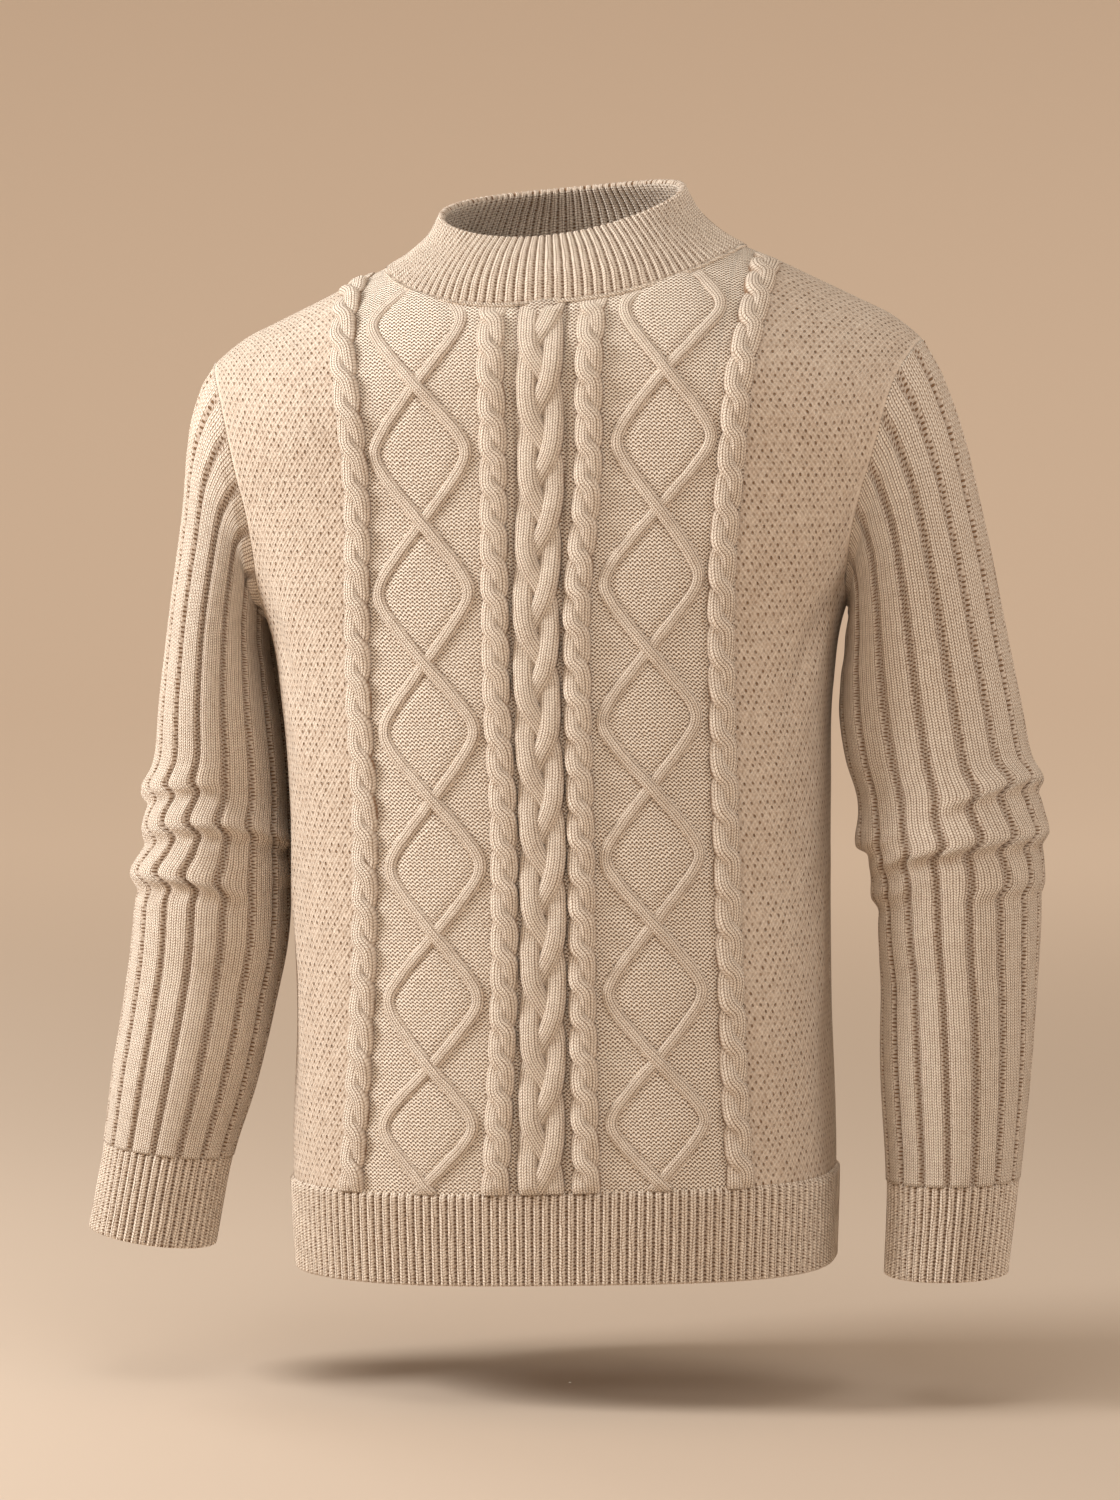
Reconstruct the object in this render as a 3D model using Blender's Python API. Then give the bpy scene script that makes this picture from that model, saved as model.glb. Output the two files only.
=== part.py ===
"""A cable-knit sweater with a funnel neck, filled out as if worn.

Metres, +Z up. The origin lies between the two points where the shoulders meet the neck, the front faces -Y and
the wearer's left is +X. Each knitted piece is a closed wall of cloth: its inside is plain, and cables, lattice
and ribs are raised in its outside.
"""
import bpy
import numpy as np
from math import pi
from mathutils import Vector
from mathutils.geometry import delaunay_2d_cdt


def table(names, *rows):
    """A short table: one array for each named column."""
    return dict(zip(names.split(), np.array(rows, float).T))


# ---- the cloth -------------------------------------------------------------------------------------------------
WALL = 0.0022            # plain knitted wall
SEAM_GAP = 0.0004        # between two pieces that are sewn together
EDGE_INSET = 0.0002      # each panel's own half of a seam gap

# ---- the body, in level sections from the hem up ---------------------------------------------------------------
ROUNDNESS = 2.7          # superellipse exponent of a level section
SECTION_ASPECT = 0.65    # depth over width, for lengths along a section
SHOULDER_DROP = 0.100    # height over which the body rounds over to the shoulder seam
LEAN_REACH = 0.10        # the lean, how much higher the wearer's left side hangs, is full this far from the middle
BODY = table("height half_width front back shift turn lean",
             (-0.690, 0.1780, 0.122, 0.116, -0.002, 2.0, 0.003),
             (-0.620, 0.1808, 0.124, 0.117, -0.003, 2.5, 0.004),
             (-0.500, 0.1785, 0.122, 0.117, -0.004, 3.5, 0.006),
             (-0.440, 0.1785, 0.121, 0.117, -0.005, 4.0, 0.007),
             (-0.370, 0.1795, 0.120, 0.117, -0.006, 4.0, 0.008),
             (-0.300, 0.1828, 0.119, 0.117, -0.008, 3.5, 0.008),
             (-0.245, 0.1920, 0.118, 0.116, -0.008, 3.0, 0.008),
             (-0.220, 0.2030, 0.117, 0.115, -0.007, 2.6, 0.008),
             (-0.190, 0.2160, 0.116, 0.114, -0.005, 2.2, 0.008),
             (-0.160, 0.2290, 0.115, 0.113, -0.003, 1.8, 0.008),
             (-0.130, 0.2420, 0.114, 0.112, -0.002, 1.4, 0.008),
             (-0.100, 0.2540, 0.113, 0.110, -0.002, 1.0, 0.008),
             (0.100, 0.2540, 0.113, 0.110, -0.002, 1.0, 0.008))
SHOULDER = table("across height",
                 (0.000, 0.0130), (0.060, 0.0070), (0.118, -0.0080), (0.140, -0.0173), (0.167, -0.0303),
                 (0.193, -0.0427), (0.220, -0.0567), (0.236, -0.0700), (0.250, -0.0860))
UNDERARM = -0.245
HEM_TOP = -0.617
HEM_END = -0.676

# ---- armhole edge of a panel, from the shoulder tip to just above the side seam, in cloth sizes -----------------
ARMHOLE = table("across height",
                (0.2560, -0.0420), (0.2500, -0.0700), (0.2385, -0.1000), (0.2275, -0.1400), (0.2205, -0.1650),
                (0.2180, -0.1900), (0.2215, -0.2130), (0.2370, -0.2340))

# ---- neck opening and collar -----------------------------------------------------------------------------------
NECK_HALF = 0.118
NECK_FRONT = 0.0975
NECK_ROUNDNESS = 2.5
NECK_BACK = 0.078
COLLAR_RIM = dict(x=-0.0047, y=-0.004, half_width=0.0805, half_depth=0.0644,
                  height=0.0249, rise_back=0.27, rise_left=0.091, saddle=0.0037)
COLLAR = table("part inward_front inward_side upward_front upward_side",
               (0.00, 0.00, 0.00, 0.00, 0.00), (0.35, 0.16, 0.42, 0.40, 0.26),
               (0.70, 0.55, 0.80, 0.77, 0.62), (1.00, 1.00, 1.00, 1.00, 1.00))
SEAM_SHARE = (1.0, 0.35, 0.0, 0.0)   # how far each of the collar's rings faces as the panels do at the seam
NECK_PARTS = 56          # straight stretches of a panel's neck edge, all round
COLLAR_RIBS = 112
COLLAR_RIB_RISE = 0.0013

# ---- hem band --------------------------------------------------------------------------------------------------
HEM_PARTS = 44           # straight stretches of one panel's lower edge
HEM_RIBS = 176
HEM_RIB_RISE = 0.0012

# ---- sleeves: each row is a section, from its outer to its inner point, with the middle's y and half its depth -----
SLEEVE_LEFT = table("outer_x outer_z inner_x inner_z middle_y half_depth turn",
                    (0.2587, -0.1220, 0.1872, -0.2475, 0.004, 0.0640, 0),
                    (0.2752, -0.1843, 0.1835, -0.2630, 0.010, 0.0660, 0),
                    (0.2886, -0.2500, 0.1800, -0.2850, 0.014, 0.0660, 0),
                    (0.2998, -0.3025, 0.1795, -0.3090, 0.012, 0.0640, 0),
                    (0.3069, -0.3354, 0.1845, -0.3380, 0.006, 0.0630, 0),
                    (0.3140, -0.3600, 0.1928, -0.3620, 0.000, 0.0620, 2),
                    (0.3170, -0.3890, 0.1968, -0.3900, -0.005, 0.0610, 5),
                    (0.3164, -0.4204, 0.2060, -0.4210, -0.008, 0.0570, 8),
                    (0.3157, -0.4560, 0.2092, -0.4580, -0.012, 0.0540, 8),
                    (0.3136, -0.4956, 0.2103, -0.4977, -0.015, 0.0520, 4),
                    (0.3104, -0.5480, 0.2119, -0.5500, -0.020, 0.0500, 0),
                    (0.3048, -0.6120, 0.2162, -0.6140, -0.026, 0.0450, -2),
                    (0.2985, -0.6737, 0.2152, -0.6750, -0.032, 0.0430, -2))
SLEEVE_RIGHT = table("outer_x outer_z inner_x inner_z middle_y half_depth turn",
                     (-0.2542, -0.1205, -0.2040, -0.2475, 0.000, 0.0640, 0),
                     (-0.2596, -0.1742, -0.2040, -0.2630, 0.000, 0.0680, 0),
                     (-0.2688, -0.2382, -0.2010, -0.2850, 0.000, 0.0700, 0),
                     (-0.2772, -0.3000, -0.1975, -0.3100, 0.000, 0.0700, 0),
                     (-0.2812, -0.3390, -0.1940, -0.3420, 0.000, 0.0680, 0),
                     (-0.2872, -0.3660, -0.1920, -0.3700, 0.000, 0.0660, 0),
                     (-0.2872, -0.3960, -0.1910, -0.3980, -0.005, 0.0640, 0),
                     (-0.2935, -0.4272, -0.1900, -0.4288, -0.008, 0.0600, 0),
                     (-0.2965, -0.4650, -0.1915, -0.4670, -0.012, 0.0560, 0),
                     (-0.3015, -0.5050, -0.1987, -0.5079, -0.015, 0.0520, 0),
                     (-0.3090, -0.5560, -0.2115, -0.5630, -0.020, 0.0490, 0),
                     (-0.3136, -0.6000, -0.2255, -0.6100, -0.026, 0.0440, 0),
                     (-0.3232, -0.6571, -0.2360, -0.6697, -0.032, 0.0420, 0))
ARMHOLE_DEPTH = 0.064    # half depth of the oval that stands for the armhole
ARMHOLE_FADE = 3.2       # section number by which the sleeve no longer follows the armhole's own line
SEAM_FADE = 0.9          # section number by which the sleeve no longer faces as the body does at the seam
SLEEVE_RINGS = (0, 0.5, 1.2, 2.2, 3.3, 4.4, 5.1, 5.4, 5.7, 5.95, 6.15, 6.4, 6.65, 6.85, 7.05, 7.25, 7.5, 7.7, 7.9,
                8.1, 8.3, 8.5, 9.0, 10.3, 12.0)
CUFF_START = 12.0        # section number at which the ribbed cuff begins; the cuff ends at the last section
SLEEVE_RIBS = 16
SLEEVE_RIB_RISE = 0.0026
RIB_STEPS = table("place height", (0.0, 0.0), (0.2, 1.0), (0.8, 1.0))     # across one rib, from its groove
SEAM_RIB = 0.3           # share of a sleeve rib's rise that is left at the armhole
CUFF_RIBS = 48
CUFF_RIB_RISE = 0.0014
ABOVE, BELOW = 0.40, 0.15    # how far, in sections, a crest's soft upper and steep lower slopes reach


def crest(*rows):
    """The line of an elbow fold's crest round an arm: degrees round from the outer point by the front, section
    number, height in millimetres."""
    return table("angle section height", *rows)


CRESTS_LEFT = (
    crest((-60, 5.90, 0), (-25, 5.70, 3.0), (0, 5.60, 4.2), (45, 5.65, 4.0), (70, 5.90, 2.5), (95, 6.10, 0)),
    crest((-70, 6.72, 0), (-30, 6.76, 2.4), (0, 6.82, 3.6), (45, 6.86, 4.2), (90, 7.05, 4.0), (135, 7.35, 3.5),
          (165, 7.55, 0)),
    crest((-60, 7.90, 0), (0, 7.82, 1.8), (45, 7.84, 2.6), (80, 7.95, 0)),
    crest((105, 6.60, 0), (140, 6.90, 3.8), (180, 7.05, 4.6), (215, 7.05, 3.4), (260, 7.00, 0)),
    crest((95, 7.85, 0), (135, 7.98, 3.2), (180, 8.15, 3.0), (220, 8.10, 2.2), (260, 8.00, 0)))
CRESTS_RIGHT = (
    crest((-60, 6.20, 0), (-25, 6.10, 2.8), (0, 6.02, 4.4), (45, 5.75, 3.8), (90, 5.50, 2.5), (120, 5.40, 0)),
    crest((-60, 7.10, 0), (0, 6.92, 2.0), (45, 6.68, 3.8), (90, 6.50, 4.2), (135, 6.62, 4.5), (180, 7.00, 5.0),
          (230, 7.20, 0)),
    crest((-80, 7.70, 0), (-30, 7.75, 3.5), (0, 7.78, 5.0), (45, 7.70, 5.5), (90, 7.68, 5.0), (115, 7.85, 3.5),
          (145, 8.00, 0)),
    crest((140, 7.70, 0), (180, 7.75, 3.0), (220, 7.70, 0)))

# ---- front cables, in cloth sizes: across from the middle of the front, height up the cloth ---------------------
PATTERN = table("height rope_in lattice rope_out",
                (-0.620, 0.0300, 0.0775, 0.1310), (-0.550, 0.0275, 0.0750, 0.1255), (-0.490, 0.0255, 0.0730, 0.1225),
                (-0.420, 0.0250, 0.0712, 0.1200), (-0.360, 0.0250, 0.0712, 0.1190), (-0.295, 0.0262, 0.0725, 0.1200),
                (-0.230, 0.0268, 0.0742, 0.1200), (-0.166, 0.0303, 0.0780, 0.1220), (-0.100, 0.0318, 0.0815, 0.1280),
                (-0.050, 0.0328, 0.0840, 0.1350), (0.060, 0.0340, 0.0860, 0.1370))
SNAP = 0.6               # below 1 a strand crosses quickly and lies straight between crossings
ROPE = dict(swing=0.0042, strand=0.0053, lift=0.0014, rise=0.0034)
ROPE_CROSSING = dict(rope_in=0.0232, rope_out=0.0248)
ROPE_START = dict(rope_in=-0.2625, rope_out=-0.2650)
BRAID = dict(swing=0.0086, strand=0.0056, lift=0.0016, rise=0.0036, period=0.138, start=-0.2625)
LATTICE_SWING = 0.0305
LATTICE_CORNER = 0.93    # below 1 rounds the corners of the diamonds
LATTICE_BAND = 0.0085
LATTICE_RISE = 0.0030
LATTICE_CROSSINGS = (-0.690, -0.611, -0.532, -0.4445, -0.356, -0.2675, -0.176, -0.086, 0.004, 0.094)
FLAT_REACH = 0.050       # below an upper seam, over which the pattern loses height
FLAT_SHOULDER, FLAT_NECK = 0.15, 0.6     # share of its height that is left at the seam

# ---- corners of the panels -------------------------------------------------------------------------------------
FRONT_STEP = 0.036       # spacing of the front's corners on plain cloth and over its inside
BACK_STEP = 0.046
CLEAR_OF_EDGE = 0.011    # from those corners to the outline
CLEAR_OF_PATTERN = 0.012     # from those corners to the corners of the pattern
PATTERN_MARGIN = 0.0025  # from the pattern's corners to the outline
# across from the middle of a cord, with the height in crossings (rope) or sixths of a period (braid)
ROPE_RIDGE = ((0.0036, -0.20), (0.0033, 0.25), (-0.0033, 0.75), (-0.0036, 1.20))
ROPE_GROOVE = ((-0.0076, 0.50), (-0.0014, 0.22), (0.0014, -0.22), (0.0076, -0.50))
ROPE_FOOT = 0.0097
BRAID_RIDGE = (-0.45, 0.25, 0.85, 1.50)
BRAID_INNER_EDGE = (-0.10, 0.50, 1.10)
BRAID_OUTER_EDGE = (0.35, 0.85, 1.30)
BRAID_FOOT = 0.0146
CORD_SIDE = 1.1          # an edge line's distance from the middle of its cord, over the cord's half width
LATTICE_STEPS = (0.0, 0.2, 0.39, 0.5, 0.61, 0.8)     # between two crossings

WOOL = (0.71, 0.58, 0.44, 1.0)


# ================================================================================================================
# Curves and surfaces
# ================================================================================================================
def smooth(x, stations, values):
    """Cubic curve through the values, its slope at each station taken from the neighbours; flat past both ends."""
    s = np.asarray(stations, float)
    y = np.asarray(values, float)
    slope = np.gradient(y, s)
    x = np.clip(x, s[0], s[-1])
    i = np.clip(np.searchsorted(s, x, side="right") - 1, 0, len(s) - 2)
    h = s[i + 1] - s[i]
    t = (x - s[i]) / h
    return ((1 + 2 * t) * (1 - t) ** 2 * y[i] + t * (1 - t) ** 2 * h * slope[i]
            + t * t * (3 - 2 * t) * y[i + 1] - t * t * (1 - t) * h * slope[i + 1])


def ramp(x):
    """0 below 0, 1 above 1, and a soft step between."""
    x = np.clip(x, 0, 1)
    return x * x * (3 - 2 * x)


def unit(v):
    return v / np.linalg.norm(v, axis=-1, keepdims=True)


def quarter_section():
    """A quarter of the level section at half width 1: length along it, x and depth, from the middle to the side."""
    a = np.linspace(0, pi / 2, 721)
    x, depth = np.sin(a) ** (2 / ROUNDNESS), np.cos(a) ** (2 / ROUNDNESS)
    steps = np.hypot(np.diff(x), SECTION_ASPECT * np.diff(depth))
    return np.concatenate([[0], np.cumsum(steps)]), x, depth


SECTION_LENGTH, SECTION_X, SECTION_DEPTH = quarter_section()


def body(name, up):
    return smooth(up, BODY["height"], BODY[name])


def side_seam(up):
    """Cloth from the middle of a panel to its side seam."""
    return body("half_width", up) * SECTION_LENGTH[-1]


def shoulder_profile(across, up, side):
    """x, depth there, shoulder height, and length of the quarter ellipse that rounds over to the shoulder."""
    half = body("half_width", up)
    reach = np.abs(across) / half
    x = np.sign(across) * half * np.interp(reach, SECTION_LENGTH, SECTION_X)
    depth = body("front" if side < 0 else "back", up) * np.interp(reach, SECTION_LENGTH, SECTION_DEPTH)
    top = smooth(np.abs(x), SHOULDER["across"], SHOULDER["height"])
    return x, depth, top, pi / 2 * np.sqrt((SHOULDER_DROP ** 2 + depth ** 2) / 2)


def torso(across, up, side):
    """Point of the body's cloth. Below the shoulders it is a level superellipse; over the last SHOULDER_DROP the
    column of stitches bends inwards on a quarter ellipse to the shoulder seam. side is -1 front, 1 back."""
    across, up = np.broadcast_arrays(np.asarray(across, float), np.asarray(up, float))
    x, depth, top, length = shoulder_profile(across, up, side)
    bend = np.clip((up - top + SHOULDER_DROP) / length, 0, 1) * pi / 2
    z = np.where(bend > 0, top - SHOULDER_DROP * (1 - np.sin(bend)), up)
    y = side * depth * np.cos(bend)
    turn = np.radians(body("turn", up))
    return np.stack([body("shift", up) + x * np.cos(turn) - y * np.sin(turn),
                     x * np.sin(turn) + y * np.cos(turn),
                     z + body("lean", up) * np.tanh(x / LEAN_REACH)], -1)


def torso_normal(across, up, side, step=0.0004):
    """Outward normal of the body's cloth, from two short differences."""
    du = torso(across + step, up, side) - torso(across - step, up, side)
    dv = torso(across, up + step, side) - torso(across, up - step, side)
    return -side * unit(np.cross(du, dv))


def shoulder_edge(across, side):
    """Height up the cloth at which a panel reaches the shoulder seam."""
    x, depth, top, length = shoulder_profile(across, 0.0, side)
    return top - SHOULDER_DROP + length - EDGE_INSET


def armhole_edge(part, side):
    """(across, up) on a panel's armhole; part runs from 0 at the shoulder tip to 1 at the side seam."""
    across = np.append(ARMHOLE["across"], side_seam(UNDERARM))
    up = np.append(ARMHOLE["height"], UNDERARM)
    up[0] = shoulder_edge(across[0], side) + EDGE_INSET
    along = np.concatenate([[0], np.cumsum(np.hypot(np.diff(across), np.diff(up)))])
    at = np.asarray(part) * along[-1]
    return smooth(at, along, across), smooth(at, along, up)


def neck_edge(angle):
    """(across, up, side) on the neck opening; the angle runs from the wearer's left shoulder over the front."""
    x, front = NECK_HALF * np.cos(angle), np.sin(angle) >= 0
    y = (1 - np.abs(np.cos(angle)) ** NECK_ROUNDNESS).clip(0) ** (1 / NECK_ROUNDNESS)
    y = y * np.where(front, NECK_FRONT, NECK_BACK)
    half = body("half_width", 0.0)
    across = np.sign(x) * half * np.interp(np.abs(x) / half, SECTION_X, SECTION_LENGTH)
    up = np.empty_like(x)
    for side, rows in ((-1, front), (1, ~front)):
        _, depth, top, length = shoulder_profile(across[rows], 0.0, side)
        up[rows] = top - SHOULDER_DROP + length * np.arccos(np.clip(y[rows] / depth, 0, 1)) / (pi / 2)
    return across, up, np.where(front, -1, 1)


def on_torso(across, up, sides):
    """Points and normals of cloth places that lie partly on the front and partly on the back."""
    points, normals = np.empty(across.shape + (3,)), np.empty(across.shape + (3,))
    for side in (-1, 1):
        rows = sides == side
        points[rows] = torso(across[rows], up[rows], side)
        normals[rows] = torso_normal(across[rows], up[rows], side)
    return points, normals


def past_edge(ring, normals, towards):
    """A closed ring of edge points, moved SEAM_GAP along the cloth and off the panel."""
    tangent = np.roll(ring, -1, 0) - np.roll(ring, 1, 0)
    off = unit(np.cross(normals, tangent))
    sign = np.sign(np.sum(off * (towards - ring.mean(0))))
    return ring + SEAM_GAP * sign * off


# ---- raised patterns of the front ------------------------------------------------------------------------------
def middle_of(name, up):
    """Distance of a rope's or a lattice's middle from the middle of the front."""
    return smooth(up, PATTERN["height"], PATTERN[name])


def snapped(wave):
    """A wave between -1 and 1 with flatter tops and quicker passes through 0."""
    return wave * np.sqrt((1 + SNAP ** 2) / (wave ** 2 + SNAP ** 2))


def rope_strand(up, name, turned):
    """Swing and lift of a rope's strand: half a turn for each crossing, high while it passes over the other."""
    phase = pi * (up - ROPE_START[name]) / ROPE_CROSSING[name] + turned
    return ROPE["swing"] * snapped(np.cos(phase)), ROPE["lift"] * (1 + np.sin(phase))


def braid_strand(up, turned):
    """Swing and lift of one of the braid's three strands: high while it moves inwards."""
    phase = 2 * pi * (BRAID["start"] - up) / BRAID["period"] + turned
    return BRAID["swing"] * snapped(np.sin(phase)), BRAID["lift"] * (1 - np.sin(2 * phase))


def cord_height(off, up, path, half_width, rise, step=0.0005):
    """Height of a rounded cord whose middle runs along path(up); nothing beside it. The distance from the middle
    is measured square to the cord, so a slanting stretch keeps its width."""
    middle, lift = path(up)
    slope = (path(up + step)[0] - path(up - step)[0]) / (2 * step)
    t = (off - middle) / (half_width * np.sqrt(1 + slope ** 2))
    return np.where(np.abs(t) < 1, lift + rise * (1 - t * t), 0)


def rope_height(off, up, name):
    return np.max([cord_height(off, up, lambda v: rope_strand(v, name, turned), ROPE["strand"], ROPE["rise"])
                   for turned in (0, pi)], axis=0)


def braid_height(off, up):
    return np.max([cord_height(off, up, lambda v: braid_strand(v, turned), BRAID["strand"], BRAID["rise"])
                   for turned in (0, 2 * pi / 3, 4 * pi / 3)], axis=0)


def lattice_path(up):
    """Sideways swing of one lattice band: a zigzag with rounded corners through the measured crossings."""
    phase = np.interp(up, LATTICE_CROSSINGS, np.arange(len(LATTICE_CROSSINGS)))
    return LATTICE_SWING * np.arcsin(LATTICE_CORNER * np.sin(pi * phase)) / np.arcsin(LATTICE_CORNER)


def lattice_height(off, up):
    return np.max([cord_height(off, up, lambda v: (band * lattice_path(v), 0.0), LATTICE_BAND / 2, LATTICE_RISE)
                   for band in (-1, 1)], axis=0)


def front_height(across, up):
    """How far the front's outside stands above plain cloth. The pattern grows flat towards its upper seam, more so
    at a shoulder than at the neck."""
    angle = np.linspace(pi / 2, 1e-6, 200)
    neck_across, neck_up, _ = neck_edge(angle)
    top = np.where(np.abs(across) > NECK_HALF, shoulder_edge(across, -1), np.interp(np.abs(across), neck_across, neck_up))
    left = np.where(np.abs(across) > NECK_HALF, FLAT_SHOULDER, FLAT_NECK)
    height = braid_height(across, up)
    for hand in (-1, 1):
        for name in ("rope_in", "rope_out"):
            height = np.maximum(height, rope_height(across - hand * middle_of(name, up), up, name))
        height = np.maximum(height, lattice_height(across - hand * middle_of("lattice", up), up))
    return height * (left + (1 - left) * ramp((top - up) / FLAT_REACH))


# ================================================================================================================
# Meshes
# ================================================================================================================
def add_piece(name, points, faces):
    """A named object from points and faces, its faces turned outwards, with its own wool material."""
    points = np.asarray(points, float)
    corners = [points[[f[0], f[i], f[i + 1]]] for f in faces for i in range(1, len(f) - 1)]
    volume = sum(np.dot(a, np.cross(b, c)) for a, b, c in corners)
    mesh = bpy.data.meshes.new(name)
    mesh.from_pydata(points.tolist(), [], [tuple(f) if volume > 0 else tuple(f)[::-1] for f in faces])
    mesh.validate()
    mesh.shade_smooth()
    mesh.set_sharp_from_angle(angle=1.0)
    wool = bpy.data.materials.new(name + "_wool")
    wool.use_nodes = True
    shader = wool.node_tree.nodes["Principled BSDF"]
    shader.inputs["Base Color"].default_value = WOOL
    shader.inputs["Roughness"].default_value = 0.9
    shader.inputs["Metallic"].default_value = 0.0
    mesh.materials.append(wool)
    piece = bpy.data.objects.new(name, mesh)
    sweater.objects.link(piece)
    return piece


def distance_inside(places, outline):
    """Distance from each place to the outline, negative outside it."""
    start, end = outline, np.roll(outline, -1, 0)
    edge, to = end - start, places[:, None] - start
    t = np.clip((to * edge).sum(-1) / (edge ** 2).sum(-1), 0, 1)
    near = np.linalg.norm(to - t[..., None] * edge, axis=-1).min(1)
    crosses = (start[:, 1] > places[:, None, 1]) != (end[:, 1] > places[:, None, 1])
    rise = np.where(edge[:, 1] == 0, 1, edge[:, 1])
    left = places[:, None, 0] < start[:, 0] + (places[:, None, 1] - start[:, 1]) * edge[:, 0] / rise
    return np.where((crosses & left).sum(1) % 2 == 1, near, -near)


def plain_grid(outline, spacing):
    """Places of a square grid that lie well inside the outline."""
    low, high = outline.min(0), outline.max(0)
    x, y = np.meshgrid(*(np.arange(a + spacing / 2, b, spacing) for a, b in zip(low, high)))
    grid = np.column_stack([x.ravel(), y.ravel()])
    return grid[distance_inside(grid, outline) > CLEAR_OF_EDGE]


def triangulate(outline, places, lines):
    """Triangles over the outline with the places as corners and the lines as edges; outline corners come first."""
    n = len(outline)
    corners = [Vector(p) for p in np.vstack([outline, places])]
    edges = [(a + n, b + n) for a, b in lines]
    edges += [(k, (k + 1) % n) for k in range(n)]
    points, _, faces, source, _, _ = delaunay_2d_cdt(corners, edges, [], 0, 1e-7, True)
    order = sorted(range(len(points)), key=lambda i: min(source[i]) if source[i] else len(corners))
    rank = {old: new for new, old in enumerate(order)}
    points = np.array([points[i] for i in order])
    faces = np.array([[rank[i] for i in f] for f in faces])
    middles = points[faces].mean(1)
    return points, faces[distance_inside(middles, outline) > 0].tolist()


def add_panel(name, side, outline, spacing, places=np.empty((0, 2)), lines=(), raised=None):
    """A panel: an outside that follows raised(), a plain inside, and a rim between their shared outlines."""
    fill = plain_grid(outline, spacing)
    apart = np.linalg.norm(fill[:, None] - places[None], axis=-1).min(1, initial=1.0)
    outer, outer_faces = triangulate(outline, np.vstack([places, fill[apart > CLEAR_OF_PATTERN]]), lines)
    inner, inner_faces = triangulate(outline, fill, [])
    n = len(outline)
    height = raised(*outer.T) if raised else np.zeros(len(outer))
    height[:n] = 0
    out = torso(*outer.T, side) + torso_normal(*outer.T, side) * height[:, None]
    back = torso(*inner.T, side) - torso_normal(*inner.T, side) * WALL
    shift = len(outer)
    rim = [(k, shift + k, shift + (k + 1) % n, (k + 1) % n) for k in range(n)]
    faces = outer_faces + [[shift + i for i in f[::-1]] for f in inner_faces] + rim
    return add_piece(name, np.vstack([out, back]), faces)


def ring_faces(rings, columns, first):
    """Faces between neighbouring rings of equal columns."""
    index = first + np.arange(rings * columns).reshape(rings, columns)
    turned = np.roll(index, -1, 1)
    quads = np.stack([index[:-1], turned[:-1], turned[1:], index[1:]], -1)
    return quads.reshape(-1, 4).tolist()


def add_tube(name, outer, inner):
    """A tube of cloth: rings of many columns outside, rings of fewer columns inside, joined at both ends."""
    many, few = outer.shape[1], inner.shape[1]
    step = many // few
    start = outer.shape[0] * many
    faces = ring_faces(outer.shape[0], many, 0) + [f[::-1] for f in ring_faces(inner.shape[0], few, start)]
    ends = ((0, start, 1), ((outer.shape[0] - 1) * many, start + (inner.shape[0] - 1) * few, -1))
    for outside, inside, way in ends:
        for k in range(few):
            following = (k + 1) % few
            fan = [outside + k * step + i for i in range(step)] + [outside + following * step]
            half = step // 2
            rim = [fan[:half + 1][::-1] + [inside + k], fan[half:][::-1] + [inside + k, inside + following]]
            faces += [f[::way] for f in rim]
    return add_piece(name, np.vstack([outer.reshape(-1, 3), inner.reshape(-1, 3)]), faces)


# ================================================================================================================
# Front and back
# ================================================================================================================
def sleeve_columns():
    """Angles of a sleeve's columns: each rib has a groove and two shoulders."""
    return (np.arange(SLEEVE_RIBS)[:, None] + RIB_STEPS["place"]).ravel() * 2 * pi / SLEEVE_RIBS


def panel_outline(side):
    """Corner places of a panel in cloth sizes, anticlockwise from the lower corner on the wearer's right."""
    lower = HEM_TOP + EDGE_INSET
    across = np.linspace(-1, 1, HEM_PARTS + 1)
    bottom = np.column_stack([across * (side_seam(lower) - EDGE_INSET), np.full(HEM_PARTS + 1, lower)])
    heights = np.linspace(lower, UNDERARM, 24)[1:-1]
    seam = np.column_stack([side_seam(heights) - EDGE_INSET, heights])
    parts = sleeve_columns()
    parts = parts[parts <= pi + 1e-9] / pi
    arm = np.column_stack(armhole_edge(parts[::-1], side))
    arm[0, 0] -= EDGE_INSET
    arm[-1, 1] -= EDGE_INSET
    angles = np.linspace(0, pi, NECK_PARTS // 2 + 1) * (1 if side < 0 else -1)
    neck_across, neck_up, _ = neck_edge(angles)
    neck = np.column_stack([neck_across, neck_up])
    neck[[0, -1], 1] = shoulder_edge(neck[[0, -1], 0], side)
    along = np.linspace(arm[-1, 0], neck[0, 0], 10)[1:-1]
    shoulder = np.column_stack([along, shoulder_edge(along, side)])
    right = np.vstack([seam, arm, shoulder])
    left = right[::-1] * (-1, 1)
    return np.vstack([bottom, right, neck, left])


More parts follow.
